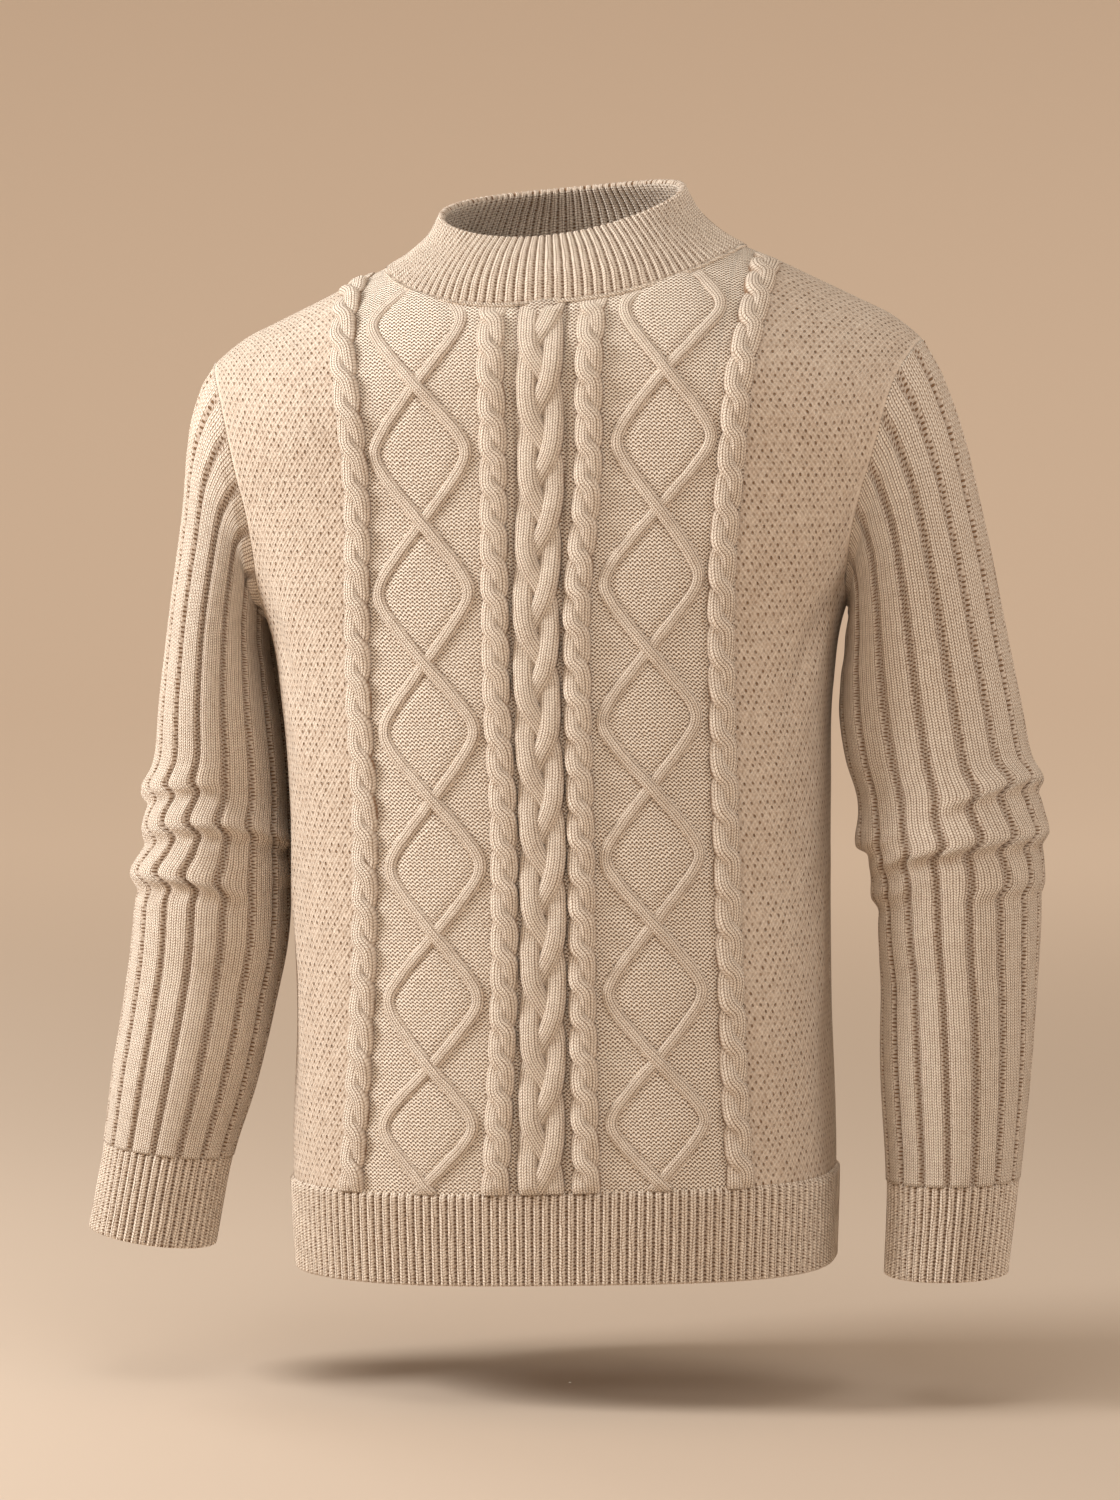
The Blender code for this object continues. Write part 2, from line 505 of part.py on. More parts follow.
def add_front():
    outline = panel_outline(-1)
    places, lines = [], []

    def add_line(across, up):
        """Adds a line of pattern places, leaving out those near the outline, and keeps its unbroken stretches."""
        points = np.column_stack(np.broadcast_arrays(across, up))
        keep = distance_inside(points, outline) > PATTERN_MARGIN
        number = len(places) + np.cumsum(keep) - 1
        places.extend(points[keep])
        lines.extend((number[i], number[i + 1]) for i in range(len(points) - 1) if keep[i] and keep[i + 1])

    # lattice: a foot on each side of each band and a ridge between
    steps = (np.arange(1, 9)[:, None] + LATTICE_STEPS).ravel()
    steps = np.interp(steps, np.arange(len(LATTICE_CROSSINGS)), LATTICE_CROSSINGS)
    for hand in (-1, 1):
        for band in (-1, 1):
            path = np.column_stack([hand * middle_of("lattice", steps) + band * lattice_path(steps), steps])
            along = unit(np.gradient(path, axis=0))
            for edge in (-CORD_SIDE, 0, CORD_SIDE):
                add_line(*(path + np.column_stack([along[:, 1], -along[:, 0]]) * edge * LATTICE_BAND / 2).T)
    # ropes: the ridge of each upper strand, the groove between it and the next, and a foot on each side
    for name in ("rope_in", "rope_out"):
        turns = np.arange(-16, 15)
        feet = ROPE_START[name] + turns * ROPE_CROSSING[name]
        for hand in (-1, 1):
            for foot in (-ROPE_FOOT, ROPE_FOOT):
                add_line(hand * middle_of(name, feet) + foot, feet)
            for turn in turns:
                for off, part in (np.transpose(ROPE_RIDGE), np.transpose(ROPE_GROOVE)):
                    up = ROPE_START[name] + (turn + part) * ROPE_CROSSING[name]
                    add_line(hand * middle_of(name, up) + off, up)
    # braid: ridge and both edges of each stretch in which a strand moves inwards over the others, and feet
    sixth = BRAID["period"] / 6
    for half in range(-18, 22):
        hand = -1 if half % 2 else 1
        for edge, parts in ((0.0, BRAID_RIDGE), (-CORD_SIDE, BRAID_INNER_EDGE), (CORD_SIDE, BRAID_OUTER_EDGE)):
            parts = np.array(parts)
            middle = BRAID["swing"] * snapped(np.sin(pi / 2 + parts * pi / 3)) + edge * BRAID["strand"]
            add_line(hand * middle, BRAID["start"] + (half + 0.5 - parts) * sixth)
    feet = np.arange(HEM_TOP, 0, sixth / 2)
    for hand in (-1, 1):
        add_line(hand * BRAID_FOOT, feet)
    add_panel("front", -1, outline, FRONT_STEP, np.array(places), lines, front_height)


def add_back():
    add_panel("back", 1, panel_outline(1), BACK_STEP)


# ================================================================================================================
# Hem band and collar
# ================================================================================================================
def hem_rings(heights, parts):
    """Rings of the hem band with the given number of straight stretches for each panel."""
    rings, normals = [], []
    for up in heights:
        across = np.linspace(-1, 1, parts, endpoint=False) * side_seam(up)
        for side, way in ((-1, 1), (1, -1)):
            rings.append(torso(way * across, up, side))
            normals.append(torso_normal(way * across, up, side))
    shape = (len(heights), 2 * parts, 3)
    return np.reshape(rings, shape), np.reshape(normals, shape)


def split_ring(ring, times):
    """The ring with each straight stretch divided evenly."""
    t = np.arange(times) / times
    parts = ring[:, :, None] * (1 - t[:, None]) + np.roll(ring, -1, 1)[:, :, None] * t[:, None]
    return parts.reshape(ring.shape[0], -1, 3)


def add_hem():
    heights = (HEM_TOP - EDGE_INSET, HEM_END)
    base, normals = hem_rings(heights, HEM_PARTS)
    times = 2 * HEM_RIBS // base.shape[1]
    fine, fine_normals = split_ring(base, times), unit(split_ring(normals, times))
    rise = HEM_RIB_RISE * (np.arange(fine.shape[1]) % 2)
    add_tube("hem_band", fine + fine_normals * rise[:, None], base - normals * WALL)


def collar_surface(angle, part):
    """Outside of the collar before its ribs, and the panels' normals at the seam: part is 0 at the seam, 1 at the
    rim. The ring narrows from the neck opening to a tilted oval; it stands up in front and flares at the sides."""
    base, normals = on_torso(*neck_edge(angle))
    rim = COLLAR_RIM
    x, y = np.cos(angle) * rim["half_width"], -np.sin(angle) * rim["half_depth"]
    top = np.column_stack([rim["x"] + x, rim["y"] + y, rim["height"] + rim["rise_back"] * y + rim["rise_left"] * x
                           + rim["saddle"] * np.cos(2 * angle)])
    base = past_edge(base, normals, top.mean(0))
    side = np.cos(angle) ** 2

    def moved(way):
        front, beside = (smooth(part, COLLAR["part"], COLLAR[way + place])[:, None] for place in ("_front", "_side"))
        return front * (1 - side) + beside * side

    share = np.stack([moved("inward"), moved("inward"), moved("upward")], -1)
    return base * (1 - share) + top * share, normals


def grid_normals(rings, first_row):
    """Normals of a closed grid of rings, with those of the first row given."""
    around = np.roll(rings, -1, 1) - np.roll(rings, 1, 1)
    along = np.gradient(rings, axis=0)
    normals = unit(np.cross(around, along))
    normals *= np.sign(np.sum(normals[0] * first_row))
    blend = np.array(SEAM_SHARE)[:, None, None]
    return unit(normals * (1 - blend) + first_row * blend)


def add_collar():
    angle = np.arange(NECK_PARTS) * 2 * pi / NECK_PARTS
    base, seam_normals = collar_surface(angle, COLLAR["part"])
    normals = grid_normals(base, seam_normals)
    times = 2 * COLLAR_RIBS // NECK_PARTS
    fine, fine_normals = split_ring(base, times), unit(split_ring(normals, times))
    rise = COLLAR_RIB_RISE * (np.arange(fine.shape[1]) % 2)
    add_tube("collar", fine + fine_normals * rise[:, None], base - normals * WALL)


# ================================================================================================================
# Sleeves and cuffs
# ================================================================================================================
def sleeve_surface(angle, section, rows, hand):
    """Outside of a sleeve and cuff before ribs and folds. Each section is an oval through its outer and inner
    points; the first follows the armhole, and what the armhole differs from its oval fades out by section 3."""
    angle, section = np.broadcast_arrays(angle, section)
    shape = angle.shape
    ring = np.mod(angle.ravel(), 2 * pi)
    part, side = np.where(ring <= pi, ring / pi, 2 - ring / pi), np.where(ring <= pi, -1, 1)
    across, up = np.empty_like(ring), np.empty_like(ring)
    for way in (-1, 1):
        mine = side == way
        across[mine], up[mine] = armhole_edge(part[mine], way)
    arm, normals = on_torso(hand * across, up, side)
    tip = torso(hand * ARMHOLE["across"][0], shoulder_edge(ARMHOLE["across"][0], -1), -1)
    under = torso(hand * side_seam(UNDERARM), UNDERARM, -1)
    count = np.arange(len(rows["turn"]) + 1)

    def row(name, first):
        return smooth(section.ravel(), count, np.append(first, rows[name]))

    outer = np.column_stack([row("outer_x", tip[0]), row("outer_z", tip[2])])
    inner = np.column_stack([row("inner_x", under[0]), row("inner_z", under[2])])
    middle, half = (outer + inner) / 2, (outer - inner) / 2
    rise = np.linalg.norm(half, axis=1, keepdims=True)
    half *= 1 - SLEEVE_RIB_RISE * ramp(section.ravel()[:, None] / 2) / rise

    def oval(middle, half, middle_y, half_depth, turned):
        return np.column_stack([middle[:, 0] + half[:, 0] * np.cos(turned), middle_y - half_depth * np.sin(turned),
                                middle[:, 1] + half[:, 1] * np.cos(turned)])

    turned = ring + hand * np.radians(row("turn", 0.0))
    points = oval(middle, half, row("middle_y", 0.0), row("half_depth", ARMHOLE_DEPTH), turned)
    ones = np.ones((len(ring), 1))
    first_middle, first_half = (tip + under)[[0, 2]] / 2, (tip - under)[[0, 2]] / 2
    start = oval(ones * first_middle, ones * first_half, 0.0, ARMHOLE_DEPTH, ring)
    fade = 1 - ramp(section.ravel()[:, None] / ARMHOLE_FADE)
    return (points + (arm - start) * fade).reshape(shape + (3,)), normals.reshape(shape + (3,))


def crest_height(angle, section, crests):
    """How far the crests stand out: each rises softly from above, drops steeply, and ends in a slight trough."""
    height = np.zeros(angle.shape)
    for line in crests:
        middle = (line["angle"][0] + line["angle"][-1]) / 2
        turn = np.mod(np.degrees(angle) - middle + 180, 360) - 180 + middle
        off = section - smooth(turn.ravel(), line["angle"], line["section"]).reshape(angle.shape)
        slope = np.exp(-(off / np.where(off < 0, ABOVE, BELOW)) ** 2) - 0.4 * np.exp(-((off - 0.36) / 0.18) ** 2)
        height += slope * np.interp(turn, line["angle"], line["height"]) / 1000
    return height


def tube_rings(sections, angles, rows, hand, crests):
    """Points and outward normals of sleeve rings, with the elbow's crests and the first ring kept to the armhole."""
    angle, section = np.meshgrid(angles, sections)
    points, seam_normals = sleeve_surface(angle, section, rows, hand)
    around = sleeve_surface(angle + 0.01, section, rows, hand)[0] - sleeve_surface(angle - 0.01, section, rows, hand)[0]
    along = sleeve_surface(angle, section + 0.02, rows, hand)[0] - sleeve_surface(angle, section - 0.02, rows, hand)[0]
    share = (1 - ramp(section / SEAM_FADE))[..., None]
    normals = unit(unit(np.cross(around, along)) * hand * (1 - share) + seam_normals * share)
    return points + normals * crest_height(angle, section, crests)[..., None], normals


def add_sleeve(name, rows, hand, crests):
    points, normals = tube_rings(np.array(SLEEVE_RINGS), sleeve_columns(), rows, hand, crests)
    points[0] = past_edge(points[0], normals[0], points[3].mean(0))
    rise = SLEEVE_RIB_RISE * np.tile(RIB_STEPS["height"], SLEEVE_RIBS) * np.ones((len(SLEEVE_RINGS), 1))
    rise[0] *= SEAM_RIB
    inside = np.append(np.arange(0, len(SLEEVE_RINGS) - 1, 2), len(SLEEVE_RINGS) - 1)
    groove = len(RIB_STEPS["place"])
    add_tube(name, points + normals * rise[..., None], (points - normals * WALL)[inside, ::groove])


def add_cuff(name, rows, hand, crests):
    angles = np.arange(2 * CUFF_RIBS) * pi / CUFF_RIBS
    points, normals = tube_rings(np.array([CUFF_START, len(rows["turn"])]), angles, rows, hand, crests)
    points[0] += unit((points[1] - points[0]).mean(0)) * SEAM_GAP
    rise = CUFF_RIB_RISE * (np.arange(len(angles)) % 2)
    add_tube(name, points + normals * rise[:, None], (points - normals * WALL)[:, ::3])


# ================================================================================================================
# The sweater
# ================================================================================================================
for old in list(bpy.data.objects):
    bpy.data.objects.remove(old)
sweater = bpy.data.collections.new("cable_knit_sweater")
bpy.context.scene.collection.children.link(sweater)

add_front()
add_back()
add_hem()
add_collar()
add_sleeve("sleeve_left", SLEEVE_LEFT, 1, CRESTS_LEFT)
add_sleeve("sleeve_right", SLEEVE_RIGHT, -1, CRESTS_RIGHT)
add_cuff("cuff_left", SLEEVE_LEFT, 1, CRESTS_LEFT)
add_cuff("cuff_right", SLEEVE_RIGHT, -1, CRESTS_RIGHT)
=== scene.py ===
# %% [markdown]
# # A cable-knit sweater
# The sweater's solids, one for each knitted piece, are already packed as a fixed frame. This file gives them
# their looks. On a real pullover everything that catches the eye is relief: strands of stitches that cross
# over one another, ribs, rows of purl bumps. It could all be painted on as bump, but raking light and the
# outline would give that away. So the cables, ribs and creases are modelled, and only the single stitches,
# about two millimetres across, are bump.
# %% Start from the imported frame
from math import cos, pi, radians, sin

import bpy
import numpy as np
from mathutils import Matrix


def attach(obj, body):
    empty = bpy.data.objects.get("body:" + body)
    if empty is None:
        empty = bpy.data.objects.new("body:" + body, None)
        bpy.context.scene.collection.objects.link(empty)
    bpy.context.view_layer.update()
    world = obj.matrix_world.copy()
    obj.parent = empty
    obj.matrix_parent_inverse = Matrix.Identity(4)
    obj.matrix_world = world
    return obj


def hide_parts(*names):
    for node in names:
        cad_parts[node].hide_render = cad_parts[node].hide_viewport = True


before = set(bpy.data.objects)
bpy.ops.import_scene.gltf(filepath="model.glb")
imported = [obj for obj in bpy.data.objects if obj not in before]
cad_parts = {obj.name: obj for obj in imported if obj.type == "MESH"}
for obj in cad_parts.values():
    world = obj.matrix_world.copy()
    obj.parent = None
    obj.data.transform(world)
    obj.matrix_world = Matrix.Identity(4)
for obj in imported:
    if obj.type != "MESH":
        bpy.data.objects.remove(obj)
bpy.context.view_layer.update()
print("knitted pieces:", ", ".join(sorted(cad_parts)))

# %% [markdown]
# ## Camera
# A long lens from four metres keeps the sweater's two sides in proportion. The camera stands ten degrees
# round towards the wearer's left and a few degrees above the chest.
# %% Camera
VIEW_AROUND = radians(10)
VIEW_ABOVE = radians(4.2)
VIEW_DISTANCE = 4.0
LENS = 144                     # millimetres, on a 36 mm sensor
AIM = np.array([-0.0066, -0.0012, -0.336])


def towards_viewer(around, above):
    """Unit vector from the sweater to a viewer: around turns from the front to the wearer's left."""
    return np.array([sin(around) * cos(above), -cos(around) * cos(above), sin(above)])


camera = bpy.data.objects.new("camera", bpy.data.cameras.new("camera"))
camera.data.lens = LENS
camera.location = AIM + VIEW_DISTANCE * towards_viewer(VIEW_AROUND, VIEW_ABOVE)
camera.rotation_euler = (pi / 2 - VIEW_ABOVE, 0, VIEW_AROUND)
bpy.context.scene.collection.objects.link(camera)
bpy.context.scene.camera = camera
print("camera at", np.round(camera.location, 3))

# %% [markdown]
# ## Meshes from grids
# Every piece of knitting here is a surface of two parameters, so one helper turns a grid of points into
# faces. A cloth wall is a fine grid outside, a coarse grid inside and a rim between them. Solidify could make
# the inside, but it would copy every rib to a side that hardly shows, and double the triangles.
# %% Helpers that build meshes
def unit(v):
    """Vectors divided by their own lengths."""
    return v / np.linalg.norm(v, axis=-1, keepdims=True)


def quads(index):
    """Four corners for each cell of a grid of point numbers."""
    return np.stack([index[:-1, :-1], index[:-1, 1:], index[1:, 1:], index[1:, :-1]], -1).reshape(-1, 4)


def rim(edge, few, way):
    """Faces between an edge of many points and one of few, each with one stretch of few along it."""
    step = (len(edge) - 1) // (len(few) - 1)
    runs = edge[np.arange(0, len(edge) - 1, step)[:, None] + np.arange(step + 1)]
    if way < 0:
        return np.column_stack([runs[:, ::-1], few[:-1], few[1:]])
    return np.column_stack([runs, few[1:], few[:-1]])


def wrapped(grid, wide):
    """Point numbers of a grid read wide columns along: past its last column comes the first again."""
    rows, columns = grid.shape[:2]
    return np.arange(rows)[:, None] * columns + np.arange(wide) % columns


def part(points, faces, index, uv, marks):
    """Faces given by numbers into an unwrapped list; index turns those into point numbers."""
    return dict(points=points, marks=marks, corners=[index[f] for f in faces], uv=[uv[f] for f in faces])


def wall(outside, inside, uv, marks, steps, closed=False):
    """A closed cloth wall from two (rows, columns, 3) grids; of inside, every steps-th row and column is
    kept. When closed, the last column joins the first, and uv has one more column than the points."""
    rows, columns = outside.shape[:2]
    thin = (slice(None, None, steps[0]), slice(None, None, steps[1]))
    fine = np.arange(rows * (columns + closed)).reshape(rows, -1)
    few = fine.size + np.arange(fine[thin].size).reshape(fine[thin].shape)
    faces = [quads(fine), quads(few)[:, ::-1], rim(fine[0], few[0], -1), rim(fine[-1], few[-1], 1)]
    if not closed:
        faces += [rim(fine[:, 0], few[:, 0], 1), rim(fine[:, -1], few[:, -1], -1)]
    index = np.append(wrapped(outside, fine.shape[1]), rows * columns + wrapped(inside[thin], few.shape[1]))
    points, uv = (np.vstack([a.reshape(-1, a.shape[-1]), b[thin].reshape(-1, a.shape[-1])])
                  for a, b in ((outside, inside), (uv, uv)))
    return part(points, faces, index, uv, {name: np.append(m, m[thin]) for name, m in marks.items()})


def rope_body(rings, uv, marks):
    """A closed cord from a (rings, points, 3) grid whose points run round it, with both ends capped."""
    count, points = rings.shape[:2]
    grid = np.arange(count * (points + 1)).reshape(count, -1)
    faces = [quads(grid), grid[:1, :-1][:, ::-1], grid[-1:, :-1]]
    marks = {name: np.broadcast_to(m, (count, points)).ravel() for name, m in marks.items()}
    return part(rings.reshape(-1, 3), faces, wrapped(rings, points + 1).ravel(), uv.reshape(-1, 2), marks)


def make_piece(name, parts, material):
    """One object from parts, turned so that its faces point outwards."""
    starts = np.cumsum([0] + [len(p["points"]) for p in parts])
    points = np.vstack([p["points"] for p in parts])
    corners = [f + start for start, p in zip(starts, parts) for f in p["corners"]]
    uv = [t for p in parts for t in p["uv"]]
    counts = np.concatenate([np.full(len(f), f.shape[1]) for f in corners])
    volume = sum(np.einsum("ij,ij->", points[f[:, 0]], np.cross(points[f[:, k]], points[f[:, k + 1]]))
                 for f in corners for k in range(1, f.shape[1] - 1)) / 6
    if volume < 0:
        corners, uv = [f[:, ::-1] for f in corners], [t[:, ::-1] for t in uv]
    corners = np.concatenate([f.ravel() for f in corners])
    mesh = bpy.data.meshes.new(name)
    mesh.vertices.add(len(points))
    mesh.vertices.foreach_set("co", points.ravel())
    mesh.loops.add(len(corners))
    mesh.loops.foreach_set("vertex_index", corners)
    mesh.polygons.add(len(counts))
    mesh.polygons.foreach_set("loop_start", np.cumsum(counts) - counts)
    mesh.uv_layers.new(name="stitches").data.foreach_set("uv", np.concatenate([t.ravel() for t in uv]))
    for mark in parts[0]["marks"]:
        values = np.concatenate([p["marks"][mark] for p in parts]).astype(np.float32)
        mesh.attributes.new(mark, "FLOAT", "POINT").data.foreach_set("value", values)
    mesh.update(calc_edges=True)
    mesh.validate()
    mesh.shade_smooth()
    mesh.materials.append(material)
    piece = bpy.data.objects.new(name, mesh)
    bpy.context.scene.collection.objects.link(piece)
    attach(piece, "root")
    print(f"{name}: {(counts - 2).sum()} triangles, {abs(volume) * 1e6:.0f} cubic centimetres")
    return piece

# %% [markdown]
# ## The sweater's cut
# These sizes are the same driving sizes that shaped the solids, so the dressed cloth lies exactly where they
# are. Places on a panel are measured along the cloth: across from its middle, and up its columns of stitches.
# %% Sizes
def table(text):
    """A table written as text, its first line naming the columns: one array for each."""
    names, *rows = text.strip().splitlines()
    return dict(zip(names.split(), np.array([row.split() for row in rows], float).T))


WALL = 0.0022            # thickness of the cloth
ROUNDNESS = 2.7          # superellipse exponent of a level section of the body
SECTION_ASPECT = 0.65    # depth of that section for its half width, when lengths along it are measured
SHOULDER_DROP = 0.100    # height over which the body rounds over to the shoulder seam
LEAN_REACH = 0.10        # distance from the middle at which the body's lean has mostly taken hold
BODY = table("""
    height half_width front back shift turn lean
    -0.690 0.1780 0.122 0.116 -0.002 2.0 0.003
    -0.620 0.1808 0.124 0.117 -0.003 2.5 0.004
    -0.500 0.1785 0.122 0.117 -0.004 3.5 0.006
    -0.440 0.1785 0.121 0.117 -0.005 4.0 0.007
    -0.370 0.1795 0.120 0.117 -0.006 4.0 0.008
    -0.300 0.1828 0.119 0.117 -0.008 3.5 0.008
    -0.245 0.1920 0.118 0.116 -0.008 3.0 0.008
    -0.220 0.2030 0.117 0.115 -0.007 2.6 0.008
    -0.190 0.2160 0.116 0.114 -0.005 2.2 0.008
    -0.160 0.2290 0.115 0.113 -0.003 1.8 0.008
    -0.130 0.2420 0.114 0.112 -0.002 1.4 0.008
    -0.100 0.2540 0.113 0.110 -0.002 1.0 0.008
    0.100 0.2540 0.113 0.110 -0.002 1.0 0.008""")
SHOULDER = table("""
    across height
    0.000 0.0130
    0.060 0.0070
    0.118 -0.0080
    0.140 -0.0173
    0.167 -0.0303
    0.193 -0.0427
    0.220 -0.0567
    0.236 -0.0700
    0.250 -0.0860""")
UNDERARM = -0.245
HEM_TOP = -0.617
HEM_END = -0.676
ARMHOLE = table("""
    across height
    0.2560 -0.0420
    0.2500 -0.0700
    0.2385 -0.1000
    0.2275 -0.1400
    0.2205 -0.1650
    0.2180 -0.1900
    0.2215 -0.2130
    0.2370 -0.2340""")
NECK_HALF = 0.118
NECK_FRONT = 0.0975
NECK_ROUNDNESS = 2.5
NECK_BACK = 0.078
COLLAR_RIM = dict(x=-0.0047, y=-0.004, half_width=0.0805, half_depth=0.0644,
                  height=0.0249, rise_back=0.27, rise_left=0.091, saddle=0.0037)
COLLAR = table("""
    part inward_front inward_side upward_front upward_side
    0.00 0.00 0.00 0.00 0.00
    0.35 0.16 0.42 0.40 0.26
    0.70 0.55 0.80 0.77 0.62
    1.00 1.00 1.00 1.00 1.00""")
SLEEVE_LEFT = table("""
    outer_x outer_z inner_x inner_z middle_y half_depth turn
    0.2587 -0.1220 0.1872 -0.2475 0.004 0.0640 0
    0.2752 -0.1843 0.1835 -0.2630 0.010 0.0660 0
    0.2886 -0.2500 0.1800 -0.2850 0.014 0.0660 0
    0.2998 -0.3025 0.1795 -0.3090 0.012 0.0640 0
    0.3069 -0.3354 0.1845 -0.3380 0.006 0.0630 0
    0.3140 -0.3600 0.1928 -0.3620 0.000 0.0620 2
    0.3170 -0.3890 0.1968 -0.3900 -0.005 0.0610 5
    0.3164 -0.4204 0.2060 -0.4210 -0.008 0.0570 8
    0.3157 -0.4560 0.2092 -0.4580 -0.012 0.0540 8
    0.3136 -0.4956 0.2103 -0.4977 -0.015 0.0520 4
    0.3104 -0.5480 0.2119 -0.5500 -0.020 0.0500 0
    0.3048 -0.6120 0.2162 -0.6140 -0.026 0.0450 -2
    0.2985 -0.6737 0.2152 -0.6750 -0.032 0.0430 -2""")
SLEEVE_RIGHT = table("""
    outer_x outer_z inner_x inner_z middle_y half_depth turn
    -0.2542 -0.1205 -0.2040 -0.2475 0.000 0.0640 0
    -0.2596 -0.1742 -0.2040 -0.2630 0.000 0.0680 0
    -0.2688 -0.2382 -0.2010 -0.2850 0.000 0.0700 0
    -0.2772 -0.3000 -0.1975 -0.3100 0.000 0.0700 0
    -0.2812 -0.3390 -0.1940 -0.3420 0.000 0.0680 0
    -0.2872 -0.3660 -0.1920 -0.3700 0.000 0.0660 0
    -0.2872 -0.3960 -0.1910 -0.3980 -0.005 0.0640 0
    -0.2935 -0.4272 -0.1900 -0.4288 -0.008 0.0600 0
    -0.2965 -0.4650 -0.1915 -0.4670 -0.012 0.0560 0
    -0.3015 -0.5050 -0.1987 -0.5079 -0.015 0.0520 0
    -0.3090 -0.5560 -0.2115 -0.5630 -0.020 0.0490 0
    -0.3136 -0.6000 -0.2255 -0.6100 -0.026 0.0440 0
    -0.3232 -0.6571 -0.2360 -0.6697 -0.032 0.0420 0""")
ARMHOLE_DEPTH = 0.064    # half the depth of the oval that stands for the armhole
ARMHOLE_FADE = 3.2       # sections over which a sleeve goes from the armhole's shape to its own
SEAM_FADE = 0.9          # sections over which its normals leave those of the body
CUFF_START = 12.0        # sleeve section at which the ribbed cuff begins; it ends at section 13
print("sleeve sections:", len(SLEEVE_LEFT["turn"]))

# %% [markdown]
# ## The body's cloth as a surface
# A filled-out body is not a tube of circles. Each level section is a superellipse, fuller at its corners than
# an ellipse, and over the last 10 cm the cloth rounds over to the shoulder seam on a quarter ellipse.
# Measuring along the cloth instead of along x matters: a column of stitches stays a column all the way up.
# %% Curves and the torso
def smooth(x, stations, values):
    """Cubic curve through the values at the stations, each slope taken from the neighbours; flat past both
    ends."""
    s = np.asarray(stations, float)
    y = np.asarray(values, float)
    slope = np.gradient(y, s)
    x = np.clip(x, s[0], s[-1])
    i = np.clip(np.searchsorted(s, x, side="right") - 1, 0, len(s) - 2)
    h = s[i + 1] - s[i]
    t = (x - s[i]) / h
    return ((1 + 2 * t) * (1 - t) ** 2 * y[i] + t * (1 - t) ** 2 * h * slope[i]
            + t * t * (3 - 2 * t) * y[i + 1] - t * t * (1 - t) * h * slope[i + 1])


def ramp(x):
    """0 below 0, 1 above 1, and a soft step between."""
    x = np.clip(x, 0, 1)
    return x * x * (3 - 2 * x)


def grown(share, part):
    """share where part is 0, and 1 where part is 1."""
    return share + (1 - share) * part


def bell(x):
    """1 at 0, falling off to both sides with the square of the distance."""
    return np.exp(-x ** 2)


def travelled(steps):
    """How far along a path each of its points lies, from the lengths of the steps between them."""
    return np.concatenate([[0], np.cumsum(steps)])


def pairs(first, second):
    """Two arrays that broadcast together, as pairs of numbers."""
    return np.stack(np.broadcast_arrays(first, second), -1)


def quarter_section():
    """Length along a quarter of the level section, x and depth, from the middle to the side at x = 1."""
    a = np.linspace(0, pi / 2, 721)
    x, depth = np.sin(a) ** (2 / ROUNDNESS), np.cos(a) ** (2 / ROUNDNESS)
    return travelled(np.hypot(np.diff(x), SECTION_ASPECT * np.diff(depth))), x, depth


SECTION_LENGTH, SECTION_X, SECTION_DEPTH = quarter_section()


def body(name, up):
    """One of the body's sizes at a height."""
    return smooth(up, BODY["height"], BODY[name])


def side_seam(up):
    """Cloth from the middle of a panel to its side seam."""
    return body("half_width", up) * SECTION_LENGTH[-1]


def shoulder_profile(across, up, side):
    """x, depth there, shoulder height, and length of the quarter ellipse that rounds over to the shoulder."""
    half = body("half_width", up)
    reach = np.abs(across) / half
    x = np.sign(across) * half * np.interp(reach, SECTION_LENGTH, SECTION_X)
    depth = body("front" if side < 0 else "back", up) * np.interp(reach, SECTION_LENGTH, SECTION_DEPTH)
    top = smooth(np.abs(x), SHOULDER["across"], SHOULDER["height"])
    return x, depth, top, pi / 2 * np.sqrt((SHOULDER_DROP ** 2 + depth ** 2) / 2)


def torso(across, up, side):
    """Point of the body's cloth: below the shoulders x and y come from the superellipse and z is the height;
    over the last SHOULDER_DROP the column bends inwards, y shrinking with a cosine while z rises with a sine.
    """
    across, up = np.broadcast_arrays(np.asarray(across, float), np.asarray(up, float))
    x, depth, top, length = shoulder_profile(across, up, side)
    bend = np.clip((up - top + SHOULDER_DROP) / length, 0, 1) * pi / 2
    z = np.where(bend > 0, top - SHOULDER_DROP * (1 - np.sin(bend)), up)
    y = side * depth * np.cos(bend)
    turn = np.radians(body("turn", up))
    return np.stack([body("shift", up) + x * np.cos(turn) - y * np.sin(turn),
                     x * np.sin(turn) + y * np.cos(turn),
                     z + body("lean", up) * np.tanh(x / LEAN_REACH)], -1)


def torso_normal(across, up, side, step=0.0008):
    """Outward normal of the body's cloth, from two short differences."""
    du = torso(across + step, up, side) - torso(across - step, up, side)
    dv = torso(across, up + step, side) - torso(across, up - step, side)
    return -side * unit(np.cross(du, dv))


def shoulder_edge(across, side):
    """Height up the cloth at which a panel reaches the shoulder seam."""
    x, depth, top, length = shoulder_profile(across, 0.0, side)
    return top - SHOULDER_DROP + length


def armhole_edge(part, side):
    """(across, up) on a panel's armhole; part runs from 0 at the shoulder tip to 1 at the side seam."""
    across = np.append(ARMHOLE["across"], side_seam(UNDERARM))
    up = np.append(ARMHOLE["height"], UNDERARM)
    up[0] = shoulder_edge(across[0], side)
    along = travelled(np.hypot(np.diff(across), np.diff(up)))
    return tuple(smooth(part * along[-1], along, values) for values in (across, up))


